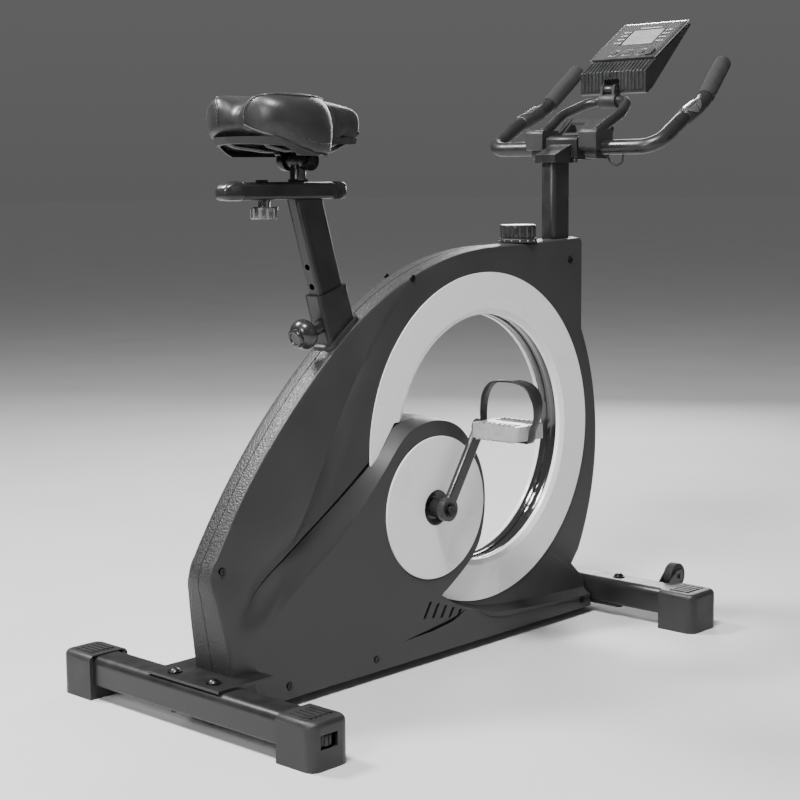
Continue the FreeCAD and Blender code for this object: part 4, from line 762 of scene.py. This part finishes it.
    def crest(self):
        way = np.array(LEAF_WAY)
        spots = np.array([np.array(e[0]) + way * e[1] for e in LEAF])
        return smooth_line(spots, 8)

    def mesh(self):
        """Corners (x, y, z) and faces of the right half."""
        lines = self.points()
        low, high = self.rim.min(axis=0), self.rim.max(axis=0)
        grid = np.array([(x + (row % 2) * MESH_PITCH / 2, z)
                         for row, z in enumerate(np.arange(low[1], high[1], MESH_PITCH * 0.87))
                         for x in np.arange(low[0], high[0], MESH_PITCH)])
        clear = np.ones(len(grid), dtype=bool)
        for line, closed in lines:
            clear &= gap_to(grid, line, closed) > 2.6
        spots, edges = [], []
        for line, closed in lines:
            first, count = len(spots), len(line)
            spots += [tuple(p) for p in line]
            edges += [(first + k, first + (k + 1) % count) for k in range(count if closed else count - 1)]
        spots += [tuple(p) for p in grid[clear]]
        made = delaunay_2d_cdt([Vector(p) for p in spots], edges, [], 0, 1e-4)
        corners = np.array([tuple(v) for v in made[0]])
        faces = np.array(made[2])
        centres = corners[faces].mean(axis=1)
        kept = within(centres, self.rim) & (~within(centres, self.hole) | within(centres, self.far))
        kept &= np.hypot(centres[:, 0], centres[:, 1] - CRANK_Z) > BORE_R
        faces = faces[kept]
        h = self.height(corners)
        outer = np.column_stack([corners[:, 0], -h, corners[:, 1]])
        return self.with_walls(outer, faces)

    def with_walls(self, outer, faces):
        """Adds a wall from each open edge in towards the plane of symmetry."""
        edges = {pair: True for face in faces for pair in zip(face, np.roll(face, -1))}
        corners = [tuple(p) for p in outer]
        walls = []
        inner = {}
        for a, b in edges:
            if (b, a) in edges:
                continue
            for end in (a, b):
                if end not in inner:
                    inner[end] = len(corners)
                    x, _, z = outer[end]
                    corners.append((x, self.wall_end(x, z), z))
            walls.append((b, a, inner[a], inner[b]))
        return corners, [tuple(f) for f in faces] + walls

    def wall_end(self, x, z):
        """How far in a wall goes: short in the crank's bore, under the strip, else to the middle."""
        if math.hypot(x, z - CRANK_Z) < BORE_R + 0.5:
            return -(COVER_HALF - BORE_WALL)
        rim = gap_to(np.array([(x, z)]), np.array(spine_line), False)[0]
        return -(SPINE_HALF - 6.0) if rim < 1.0 else -0.35


def make_casing(paints):
    corners, faces = Casing().mesh()
    for side, name in ((1.0, "right"), (-1.0, "left")):
        shell = [(x, y * side, z) for x, y, z in corners]
        add_piece("shell_" + name, shell, faces, paints["shell_plastic"], "frame",
                  ("housing_" + name,), smooth=28.0)


def make_spine(paints):
    """Grained strip that runs from the rear foot over the arch, with a seam along its middle."""
    line = resample(spine_line, 9.0, False)
    way = np.gradient(line, axis=0)
    way /= np.linalg.norm(way, axis=1)[:, None]
    inward = np.column_stack([way[:, 1], -way[:, 0]])
    corners = []
    for spot, normal in zip(line, inward):
        half = float(edge_half(spot[1])) - 0.9
        side = [(half, 7.0), (half, 1.6), (half - 0.5, 0.5), (half - 1.6, 0.0), (half * 0.6, -0.9),
                (half * 0.25, -1.4), (1.0, -1.5), (0.45, -0.6)]
        profile = [(-y, d) for y, d in side] + [(y, d) for y, d in reversed(side)]
        corners += [(spot[0] + normal[0] * d, y, spot[1] + normal[1] * d) for y, d in profile]
    faces = loft_faces(len(line), len(profile), wrap=False, caps=True)
    strip = add_piece("spine_strip", corners, faces, paints["spine_plastic"], "frame",
                      ("spine_cover",), smooth=30.0)
    seat_way = Vector((PIN_WAY.z, 0.0, -PIN_WAY.x))
    pierce(strip, PIN_SPOT, seat_way, PIN_WAY, box_outline(*SLEEVE_HOLE), -170.0, 60.0)
    up, ahead = Vector((0.0, 0.0, 1.0)), Vector((1.0, 0.0, 0.0))
    for node, outline in (("resistance_knob", round_outline(STEM_HOLE_R)),
                          ("handlebar_post", box_outline(*POST_HOLE))):
        near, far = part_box(node)
        middle = ((near.x + far.x) / 2 - CRANK_X) / MM
        pierce(strip, (middle, 0.0, HOLE_Z), up, ahead, outline, -30.0, 30.0)


# ---- saddle ---------------------------------------------------------------------------------

SADDLE_REAR_X = -389.0
SADDLE_TIP_X = -132.0
SADDLE_WIDE_X = -310.0
SADDLE_HALF = 91.0
SADDLE_UNDER_Z = 851.0
SADDLE_ROWS = 72
CLOTH_STEPS = 20
SADDLE_TOPS = [(-389.0, 901.0), (-350.0, 906.0), (-300.0, 907.0), (-250.0, 905.0), (-200.0, 899.0),
               (-160.0, 893.0), (-132.0, 888.0)]
SADDLE_EDGES = [(-389.0, 851.0), (-362.0, 845.0), (-330.0, 831.0), (-295.0, 821.0), (-250.0, 820.0),
                (-225.0, 830.0), (-200.0, 841.0), (-160.0, 847.0), (-132.0, 850.0)]
NOSE_WIDTHS = [(-389.0, 0.0), (-330.0, 20.0), (-280.0, 44.0), (-240.0, 41.0), (-200.0, 29.0), (-165.0, 24.0),
               (-132.0, 22.0)]


def along(table, x):
    return float(np.interp(x, *np.array(table).T))


def saddle_width(x):
    """Half width in plan: a wide rear ellipse that blends into the nose."""
    share = min(1.0, abs(x - SADDLE_WIDE_X) / (SADDLE_WIDE_X - SADDLE_REAR_X + 1.0))
    power = 2.7 if x < SADDLE_WIDE_X else 2.4
    wide = SADDLE_HALF * (1.0 - share**power) ** (1 / power)
    nose = along(NOSE_WIDTHS, x) * (1.0 - max(0.0, (x + 152.0) / 21.0) ** 2.4) ** (1 / 2.4)
    return (wide**5 + nose**5) ** 0.2


def saddle_section(x):
    """Points (y, z) of half a cross-section, from the top's middle round to the underside's middle."""
    w = saddle_width(x)
    top, edge = along(SADDLE_TOPS, x), along(SADDLE_EDGES, x)
    rear = max(0.0, 1.0 - (x - SADDLE_REAR_X) / 26.0)
    tip = max(0.0, 1.0 - (SADDLE_TIP_X - x) / 24.0)
    shrink = (1.0 - max(rear, tip) ** 2.5) ** (1 / 2.5)
    middle = 868.0 if rear > 0 else 866.0
    top = middle + (top - middle) * max(shrink, 0.12)
    edge = middle + (edge - middle) * max(shrink, 0.12)
    under = max(edge + 0.5, middle + (SADDLE_UNDER_Z - middle) * max(shrink, 0.12))
    tall = top - edge
    groove = 13.0 * np.clip((-205.0 - x) / 130.0, 0.0, 1.0) * (0.4 + 0.6 * shrink)
    crown = 3.0 * np.clip((x + 235.0) / 60.0, 0.0, 1.0)
    corners = [(0.0, top - groove + crown), (0.16 * w, top - groove * 0.86 + crown * 0.9),
               (0.36 * w, top - groove * 0.36 + crown * 0.5), (0.60 * w, top), (0.80 * w, top - 0.07 * tall),
               (0.95 * w, top - 0.25 * tall), (1.0 * w, top - 0.5 * tall), (0.975 * w, top - 0.74 * tall),
               (0.91 * w, edge + 3.0), (0.87 * w, edge), (0.82 * w, edge + 2.0), (0.70 * w, under - 1.0),
               (0.45 * w, under), (0.0, under)]
    return smooth_line(corners, 4)


def saddle_notch(x, y):
    """The rear edge steps forward between the two lobes."""
    return x + 7.0 * math.exp(-(y / 26.0) ** 2) * max(0.0, 1.0 - (x - SADDLE_REAR_X) / 60.0)


def saddle_form():
    """Closed mesh of the padded cover: corners in crank millimetres and faces."""
    shares = 0.5 - 0.5 * np.cos(np.linspace(0.04, math.pi - 0.04, SADDLE_ROWS))
    rows = [SADDLE_REAR_X + (SADDLE_TIP_X - SADDLE_REAR_X) * share for share in shares]
    corners = []
    for x in rows:
        half = saddle_section(x)
        ring = [(-y, z) for y, z in half] + [(y, z) for y, z in half[-2:0:-1]]
        corners += [(saddle_notch(x, y), y, z) for y, z in ring]
    return corners, loft_faces(len(rows), len(ring), caps=True)


def inflate(piece, voxel, pressure, cap):
    """Padding: remesh, a short cloth run under pressure, and a cap on how far each corner went."""
    remesh = piece.modifiers.new("remesh", "REMESH")
    remesh.mode = "VOXEL"
    remesh.voxel_size = voxel
    bake_modifiers(piece)
    start = np.array([v.co for v in piece.data.vertices])
    cloth = piece.modifiers.new("cloth", "CLOTH")
    cloth.settings.use_pressure = True
    cloth.settings.uniform_pressure_force = pressure
    cloth.settings.effector_weights.gravity = 0.0
    cloth.settings.tension_stiffness = 30.0
    cloth.settings.compression_stiffness = 30.0
    cloth.settings.quality = 6
    for step in range(1, CLOTH_STEPS + 1):
        bpy.context.scene.frame_set(step)
    bake_modifiers(piece)
    bpy.context.scene.frame_set(1)
    end = np.array([v.co for v in piece.data.vertices])
    moved = end - start
    length = np.linalg.norm(moved, axis=1)[:, None]
    moved *= np.minimum(1.0, cap / np.maximum(length, 1e-9))
    piece.data.vertices.foreach_set("co", (start + moved).ravel())
    piece.data.update()


def bake_modifiers(piece):
    """Replaces the mesh with what its modifiers make of it."""
    evaluated = piece.evaluated_get(bpy.context.evaluated_depsgraph_get())
    made = bpy.data.meshes.new_from_object(evaluated)
    materials = list(piece.data.materials)
    piece.modifiers.clear()
    piece.data = made
    made.materials.clear()
    for material in materials:
        made.materials.append(material)


def surface_tree(piece):
    work = bmesh.new()
    work.from_mesh(piece.data)
    tree = BVHTree.FromBMesh(work)
    work.free()
    return tree


def onto(tree, spot, lift):
    """The nearest point of a surface, lifted off it along its normal."""
    found, normal, _, _ = tree.find_nearest(spot)
    return found + normal * lift


def tube(name, spots, radius, paint, body, closed=False, sides=10, flat=1.0):
    """A round or flattened tube through points in the row frame, in metres."""
    spots = [Vector(p) for p in spots]
    count = len(spots)
    corners = []
    normal = None
    for k, spot in enumerate(spots):
        ahead = spots[(k + 1) % count] if closed or k < count - 1 else spots[k]
        behind = spots[k - 1] if closed or k > 0 else spots[k]
        way = (ahead - behind).normalized()
        if normal is None:
            normal = way.orthogonal().normalized()
        normal = (normal - way * normal.dot(way)).normalized()
        across = way.cross(normal)
        for j in range(sides):
            angle = math.tau * j / sides
            corners.append(spot + normal * (radius * math.cos(angle))
                           + across * (radius * flat * math.sin(angle)))
    faces = loft_faces(count, sides, loop=closed, caps=not closed)
    return add_piece(name, [unplace(c) for c in corners], faces, paint, body, smooth=50.0)


def saddle_path(xs, shares):
    """Points on the saddle's cover: share 0 is the middle of the top and 1 the middle of the underside."""
    spots = []
    for x, share in zip(xs, shares):
        half = saddle_section(x)
        y, z = half[min(len(half) - 1, int(round(share * (len(half) - 1))))]
        spots.append((saddle_notch(x, y), y, z))
    return np.array(spots)


def make_saddle(paints):
    corners, faces = saddle_form()
    cover = add_piece("saddle_cover", corners, faces, paints["vinyl"], "saddle",
                      ("saddle_cushion",), smooth=None)
    inflate(cover, 0.004, 4.0, 0.003)
    cover.data.shade_smooth()
    refine = cover.modifiers.new("refine", "SUBSURF")
    refine.levels = 1
    refine.render_levels = 1
    tree = surface_tree(cover)
    for side, name in ((-1.0, "right"), (1.0, "left")):
        saddle_seams(paints, tree, side, name)
    make_saddle_rim(paints, tree)


# Piping of the left lobe: up the rear face beside the groove, round the top edge, and down its front
PIPING = [(-394.0, 28.0, 862.0), (-396.0, 28.0, 876.0), (-392.0, 30.0, 892.0), (-380.0, 40.0, 906.0),
          (-362.0, 58.0, 911.0), (-335.0, 70.0, 912.0), (-298.0, 74.0, 912.0), (-266.0, 64.0, 910.0),
          (-248.0, 54.0, 900.0), (-236.0, 50.0, 882.0), (-229.0, 48.0, 864.0), (-226.0, 47.0, 846.0)]


def saddle_seams(paints, tree, side, name):
    """Piping round the side panel of one lobe, with a stitched seam behind it and a flat seam below."""
    def lay(line, lift):
        return [onto(tree, place(x, y * side, z), lift) for x, y, z in line]

    tube("saddle_piping_" + name, lay(smooth_line(PIPING, 8), 0.0004), 0.0012, paints["vinyl_seam"], "saddle")
    low = smooth_line(saddle_path(np.linspace(-352.0, -228.0, 22), np.full(22, 0.565)), 3)
    tube("saddle_panel_seam_" + name, lay(low, -0.0001), 0.0008, paints["vinyl_seam"], "saddle")
    seam = [(x, y + 4.5, z) for x, y, z in PIPING[:4]]
    stitches(name, lay(smooth_line(seam, 26), 0.0004), paints)


def stitches(name, line, paints):
    """Short raised stitches with gaps between them, as one piece."""
    spots, faces = [], []
    length, gap, half = 0.0034, 0.0018, 0.00045
    travelled = 0.0
    for a, b in zip(line[:-1], line[1:]):
        step = (b - a).length
        if travelled % (length + gap) < length and step > 0:
            way = (b - a).normalized()
            across = way.orthogonal().normalized() * half
            over = way.cross(across).normalized() * half
            first = len(spots)
            spots += [a + across, a + over, a - across, a - over, b + across, b + over, b - across, b - over]
            faces += [tuple(first + i for i in face) for face in loft_faces(2, 4)]
        travelled += step
    add_piece("saddle_stitches_" + name, [unplace(c) for c in spots], faces, paints["thread"], "saddle",
              smooth=60.0)


def make_saddle_rim(paints, tree):
    """Bead along the lower edge of the cover's right side, laid there and back."""
    shares = 0.5 - 0.5 * np.cos(np.linspace(0.12, math.pi - 0.12, 60))
    xs = SADDLE_REAR_X + (SADDLE_TIP_X - SADDLE_REAR_X) * shares
    right = saddle_path(xs, np.full(60, 0.655)) * [1.0, -1.0, 1.0]
    line = [onto(tree, place(x, y, z), 0.0004) for x, y, z in np.vstack([right, right[::-1]])]
    tube("saddle_rim", line, 0.0019, paints["cap_plastic"], "saddle", closed=True)


# ---- bar, console and pedals ----------------------------------------------------------------

BAR_R = 13.0
BAR_RISE = Vector((490.0, 181.0, 884.0))
BAR_ELBOW = Vector((563.0, 176.0, 916.0))
BAR_TIP = Vector((648.0, 163.0, 990.0))
GRIP_R = 14.6


def mirror(corners):
    return [(c[0], -c[1], c[2]) for c in corners]


def joined(parts):
    """Puts several (corners, faces) together."""
    corners, faces = [], []
    for more, some in parts:
        first = len(corners)
        corners += [tuple(c) for c in more]
        faces += [tuple(first + i for i in f) for f in some]
    return corners, faces


def axes_along(start, end):
    """Way, upwards and sideways directions of a straight piece."""
    way = (end - start).normalized()
    up = (Vector((0.0, 0.0, 1.0)) - way * way.z).normalized()
    return way, up, way.cross(up)


def revolved(start, end, profile, sides=36, ripple=0.0):
    """Solid of revolution about a line. profile holds (distance from start, radius)."""
    way, up, side = axes_along(start, end)
    corners = []
    for reach, radius in profile:
        for k in range(sides):
            angle = math.tau * k / sides
            out = up * math.cos(angle) + side * math.sin(angle)
            spot = start + way * reach
            corners.append(spot + out * (radius + ripple * noise.noise((spot + out * radius) * 0.12)))
    return corners, loft_faces(len(profile), sides, caps=True)


def make_grips(paints):
    """Foam sleeves on the bar's ends, with a rolled lip and a rounded end."""
    way = (BAR_TIP - BAR_ELBOW).normalized()
    start, end = BAR_ELBOW + way * 16.0, BAR_TIP + way * 4.0
    length = (end - start).length
    profile = [(0.4, 12.6), (0.0, 13.6), (1.2, GRIP_R + 0.2), (3.0, GRIP_R + 0.5), (5.2, GRIP_R + 0.1),
               (7.5, GRIP_R - 0.2)]
    profile += [(d, GRIP_R + 0.35 * math.sin(math.pi * d / length))
                for d in np.arange(10.0, length - 9.0, 3.0)]
    profile += [(length - 8.0 * (1 - math.sin(a)), GRIP_R - 6.5 * (1 - math.cos(a)))
                for a in np.linspace(0.1, 1.45, 9)]
    profile += [(length - 0.4, 6.0), (length - 1.0, 3.0), (length - 1.2, 0.4)]
    corners, faces = revolved(start, end, profile, 40, 0.22)
    for name, spots in (("left", corners), ("right", mirror(corners))):
        grip = add_piece("grip_foam_" + name, spots, faces, paints["foam"], "handlebar",
                         ("grips",) if name == "left" else (), smooth=60.0)


def sensor_plate(start, end, share0, share1, side_from, side_to):
    """One thin plate wrapped on the bar: its width follows a long lens between start and end."""
    way, up, side = axes_along(start, end)
    length = (end - start).length
    rows, columns = 14, 8
    grids = []
    for radius in (BAR_R + 2.6, BAR_R + 0.6):
        grid = []
        for row in range(rows + 1):
            share = share0 + (share1 - share0) * row / rows
            half = math.radians(64.0) * (1.0 - abs(2.0 * share - 1.0) ** 1.7)
            for column in range(columns + 1):
                angle = half * (side_from + (side_to - side_from) * column / columns) + math.radians(24.0)
                out = up * math.cos(angle) - side * math.sin(angle)
                grid.append(start + way * (length * share) + out * radius)
        grids.append(grid)
    wide = columns + 1
    count = len(grids[0])
    faces = []
    for row in range(rows):
        for column in range(columns):
            a = row * wide + column
            b = count + a
            faces += [(a, a + 1, a + wide + 1, a + wide), (b, b + wide, b + wide + 1, b + 1)]
    ring = (list(range(wide)) + [r * wide + columns for r in range(1, rows + 1)]
            + list(range(rows * wide + columns - 1, rows * wide - 1, -1))
            + [r * wide for r in range(rows - 1, 0, -1)])
    faces += [(a, b, count + b, count + a) for a, b in zip(ring, ring[1:] + ring[:1])]
    return grids[0] + grids[1], faces


def make_sensors(paints):
    """Pulse contacts: black sleeves with two pairs of bright plates that make one long lens."""
    run = BAR_ELBOW - BAR_RISE
    start, end = BAR_RISE + run * 0.10, BAR_RISE + run * 0.78
    length = (end - start).length
    rise = [(0.0, 12.9), (0.6, 13.6), (3.0, 14.3)]
    sleeve = revolved(start, end, rise + [(length - reach, radius) for reach, radius in reversed(rise)])
    plates = joined([sensor_plate(start, end, low, high, *sides) for low, high in ((0.03, 0.55), (0.60, 0.97))
                     for sides in ((-1.0, -0.06), (0.06, 1.0))])
    for name, flip in (("left", False), ("right", True)):
        for kind, (corners, faces), paint, slot in (("sleeve", sleeve, "cap_plastic", "cap_plastic"),
                                                    ("plates", plates, "sensor_steel", "sensor_steel")):
            spots = mirror(corners) if flip else corners
            add_piece("sensor_" + kind + "_" + name, spots, faces, paints[paint], "handlebar",
                      ("pulse_sensors",) if kind == "plates" and not flip else (), smooth=40.0)


PEDAL_X, PEDAL_Z = 81.7, 382.8
PEDAL_INNER_Y = 78.5
SPINDLE_HOLE_R = 6.8
STRAP = [(0.0, -11.0), (-0.6, 10.0), (-0.4, 34.0), (5.0, 58.0), (20.0, 75.0), (46.0, 79.5), (78.0, 79.0),
         (99.0, 70.0), (111.0, 48.0), (110.0, 22.0), (102.0, 4.0), (99.7, -9.0), (96.0, -16.2), (88.0, -16.6),
         (50.0, -16.6), (10.0, -16.6), (2.5, -15.6)]


def strap(centre_x, centre_z, side):
    """Ribbed strap that loops over the foot and under the pedal."""
    path = smooth_line(STRAP, 14, True)
    ahead = np.roll(path, -1, axis=0) - np.roll(path, 1, axis=0)
    ahead /= np.linalg.norm(ahead, axis=1)[:, None]
    travelled = np.concatenate([[0.0], np.cumsum(np.linalg.norm(np.diff(path, axis=0), axis=1))])
    corners = []
    for (y, z), (dy, dz), run in zip(path, ahead, travelled):
        high = np.clip((z - 20.0) / 40.0, 0.0, 1.0)
        half = 8.5 + 5.5 * high * np.clip(y / 60.0, 0.2, 1.0)
        thick = 1.1 + 0.35 * high * math.cos(run * math.tau / 4.2)
        section = [(-half, -0.5), (-half + 0.7, -thick), (half - 0.7, -thick), (half, -0.5), (half, 0.5),
                   (half - 0.7, thick), (-half + 0.7, thick), (-half, 0.5)]
        for along_x, out in section:
            corners.append((centre_x + along_x, side * (PEDAL_INNER_Y + y - dz * out),
                            centre_z + z + dy * out))
    return corners, loft_faces(len(path), len(section), loop=True)


def make_straps(paints):
    for side, name in ((-1.0, "right"), (1.0, "left")):
        x, z = (PEDAL_X, PEDAL_Z) if side < 0 else (-PEDAL_X, 2 * CRANK_Z - PEDAL_Z)
        corners, faces = strap(x, z, side)
        loop = add_piece("toe_strap_" + name, corners, faces, paints["strap_plastic"], name + "_pedal",
                         ("toe_cage_" + name,), smooth=50.0)
        pierce(loop, (x, side * PEDAL_INNER_Y, z), Vector((0.0, 1.0, 0.0)), Vector((1.0, 0.0, 0.0)),
               round_outline(SPINDLE_HOLE_R), -12.0, 12.0)


PANEL_SPOT = Vector((566.0, 0.0, 997.0))
PANEL_TILT = math.radians(33.0)
PANEL_TOP = 4.5
RING_STEPS = 40
BUTTON_SPOTS = [(22.0, 30.0), (22.0, 0.0), (22.0, -30.0)]


def on_panel(up, y, out):
    """A point given by its distance up the panel, Y, and height off the panel's back."""
    return (PANEL_SPOT.x + up * math.cos(PANEL_TILT) - out * math.sin(PANEL_TILT), y,
            PANEL_SPOT.z + up * math.sin(PANEL_TILT) + out * math.cos(PANEL_TILT))


def panel_pad(up0, up1, y0, y1, out0, out1, round_by=2.0):
    """Thin pad with rounded corners and a bevelled top edge, on the panel."""
    outline = []
    for cu, cy, start in ((up1, y1, 0.0), (up0, y1, 90.0), (up0, y0, 180.0), (up1, y0, 270.0)):
        for k in range(5):
            angle = math.radians(start + 22.5 * k)
            du, dy = math.cos(angle), math.sin(angle)
            outline.append((cu - round_by * (1 if cu == up1 else -1) + round_by * du,
                            cy - round_by * (1 if cy == y1 else -1) + round_by * dy))
    inner = inset_line(np.array(outline), -0.35)
    count = len(outline)
    corners = [on_panel(u, y, out0) for u, y in outline] + [on_panel(u, y, out1 - 0.3) for u, y in outline]
    corners += [on_panel(u, y, out1) for u, y in inner]
    return corners, loft_faces(3, count, caps=True)


def panel_ring(up, y, radius, thick):
    """Raised ring round a button."""
    corners = []
    for angle in np.arange(RING_STEPS) * math.tau / RING_STEPS:
        for turn in np.arange(8) * math.tau / 8:
            reach = radius + thick * math.cos(turn)
            corners.append(on_panel(up + reach * math.cos(angle), y + reach * math.sin(angle),
                                    PANEL_TOP + 0.2 + thick * math.sin(turn)))
    return corners, loft_faces(RING_STEPS, 8, loop=True)


def make_console(paints):
    """Screen, generic marks, button rings, side strip, bright edge and a dark raised pad on the panel."""
    def piece(name, parts, paint, slot, smooth=40.0):
        corners, faces = joined(parts)
        add_piece(name, corners, faces, paints[paint], "console", smooth=smooth)

    piece("console_screen", [panel_pad(54.0, 106.0, -34.0, 34.0, 3.2, 4.9, 1.5)], "screen_glass",
          "panel_silver")
    marks = []
    for side in (-1.0, 1.0):
        for row in range(4):
            for start, length in ((38.5, 5.0), (45.0, 9.0)) if row % 2 else ((38.5, 9.5), (50.0, 4.5)):
                y = sorted((side * start, side * (start + length)))
                marks.append(panel_pad(60.0 + 13.0 * row, 63.0 + 13.0 * row, y[0], y[1], PANEL_TOP - 0.1,
                                       PANEL_TOP + 0.5, 0.9))
    marks.append(panel_pad(112.0, 114.4, -24.0, 24.0, PANEL_TOP - 0.1, PANEL_TOP + 0.5, 0.9))
    piece("console_marks", marks, "print_ink", "panel_silver")
    rings = [panel_ring(u, y, r, 0.55) for u, y in BUTTON_SPOTS for r in (8.6, 11.2)]
    piece("console_rings", rings, "bright_trim", "panel_silver")
    piece("console_side", [panel_pad(6.0, 128.0, -69.5, -62.0, PANEL_TOP - 0.2, PANEL_TOP + 0.7, 2.0)],
          "tray_black", "cap_plastic")
    # Dark raised pad at the panel's lower right.
    piece("console_dark_pad", [panel_pad(8.0, 30.0, -59.5, -44.0, PANEL_TOP - 0.2, PANEL_TOP + 3.6, 5.0)],
          "console_case", "cap_plastic")
    edge = [on_panel(up, y, 3.4) for up, y in ((2.0, -71.6), (130.0, -71.6), (132.2, -69.4), (132.2, 69.4),
                                               (130.0, 71.6), (2.0, 71.6))]
    tube("console_edge", [place(*p) for p in resample(edge, 6.0, False)], 0.0013, paints["bright_trim"],
         "console")


def box_form(sizes, power=4.0, sides=32):
    """Lofted form along X. sizes holds (x, z of the middle, half width, half height)."""
    corners = []
    for x, z, wide, tall in sizes:
        for k in range(sides):
            angle = math.tau * k / sides
            c, d = math.cos(angle), math.sin(angle)
            corners.append((x, wide * math.copysign(abs(c) ** (2 / power), c),
                            z + tall * math.copysign(abs(d) ** (2 / power), d)))
    return corners, loft_faces(len(sizes), sides, caps=True)


def make_rail_ends(paints):
    """Bulbous rear plug and rounded front end of the saddle rail."""
    rear = [(-374.0, 770.0, 17.3, 13.3), (-376.0, 770.2, 18.2, 14.2)]
    rear += [(-380.0 - 27.5 * math.sin(a), 770.4 - 3.6 * math.sin(a) ** 2, 18.6 * math.cos(a) ** 0.55,
              14.6 * math.cos(a) ** 0.6) for a in np.linspace(0.0, 1.52, 14)]
    front = [(-174.0, 770.0, 17.2, 13.2)]
    front += [(-172.0 + 8.0 * math.sin(a), 770.0, 17.2 * (0.35 + 0.65 * math.cos(a) ** 0.6),
               13.2 * (0.3 + 0.7 * math.cos(a) ** 0.6)) for a in np.linspace(0.0, 1.5, 9)]
    corners, faces = joined([box_form(rear), box_form(front)])
    add_piece("rail_ends", corners, faces, paints["knob_plastic"], "seat_column",
              ("rail_plugs",), smooth=50.0)


KNOB_PROFILE = [(33.0, 4.4), (49.0, 4.4), (49.2, 9.0), (50.4, 15.0), (53.0, 19.6), (57.0, 22.4), (62.0, 23.5),
                (67.0, 23.1), (71.5, 21.3), (75.5, 18.2), (77.6, 15.8), (78.0, 14.6), (79.6, 14.9), (82.4, 14.6),
                (84.0, 13.2), (84.6, 11.2), (84.2, 9.4), (82.6, 8.6), (82.2, 4.0), (82.2, 0.5)]


def make_pull_knob(paints):
    """Round pull knob of the height pin, with a raised cap ring at its end."""
    corners, faces = revolved(PIN_SPOT, PIN_SPOT + PIN_WAY, KNOB_PROFILE, 48)
    add_piece("pull_knob", corners, faces, paints["knob_plastic"], "height_pin", ("pop_pin",),
              smooth=34.0)


def make_front_plate(paints):
    """Narrow cover plate let into the front edge of the casing."""
    outline = [(-9.0, 569.0), (-11.0, 573.0), (-11.0, 633.0), (-9.0, 637.0), (9.0, 637.0), (11.0, 633.0),
               (11.0, 573.0), (9.0, 569.0)]
    corners = [(410.0, y, z) for y, z in outline] + [(414.0, y, z) for y, z in outline]
    corners += [(414.8, y * 0.92, 603.0 + (z - 603.0) * 0.985) for y, z in outline]
    faces = loft_faces(3, len(outline), caps=True)
    add_piece("front_plate", corners, faces, paints["cap_plastic"], "frame", smooth=30.0)


KNOB_X, KNOB_BASE_R = 265.0, 33.0


def make_knob_marks(paints):
    """Dots that grow round the base ring of the tension knob."""
    parts = []
    for k in range(9):
        angle = math.radians(100.0 + 25.0 * k)
        out = Vector((math.cos(angle), math.sin(angle), 0.0))
        spot = Vector((KNOB_X, 0.0, 680.0)) + out * (KNOB_BASE_R - 0.6)
        radius = 0.7 + 0.12 * k
        profile = [(0.0, radius), (0.9, radius * 0.9), (1.15, radius * 0.5)]
        parts.append(revolved(spot, spot + out, profile, 12))
    corners, faces = joined(parts)
    add_piece("knob_marks", corners, faces, paints["print_ink"], "frame", smooth=40.0)


# ---- build ----------------------------------------------------------------------------------

make_camera()
make_lights()
make_world()
make_floor()
paints = make_paints()
paint_nodes(paints)
soften_edges()
for make in (make_casing, make_spine, make_saddle, make_grips, make_sensors, make_straps, make_console,
             make_rail_ends, make_pull_knob, make_front_plate, make_knob_marks):
    make(paints)
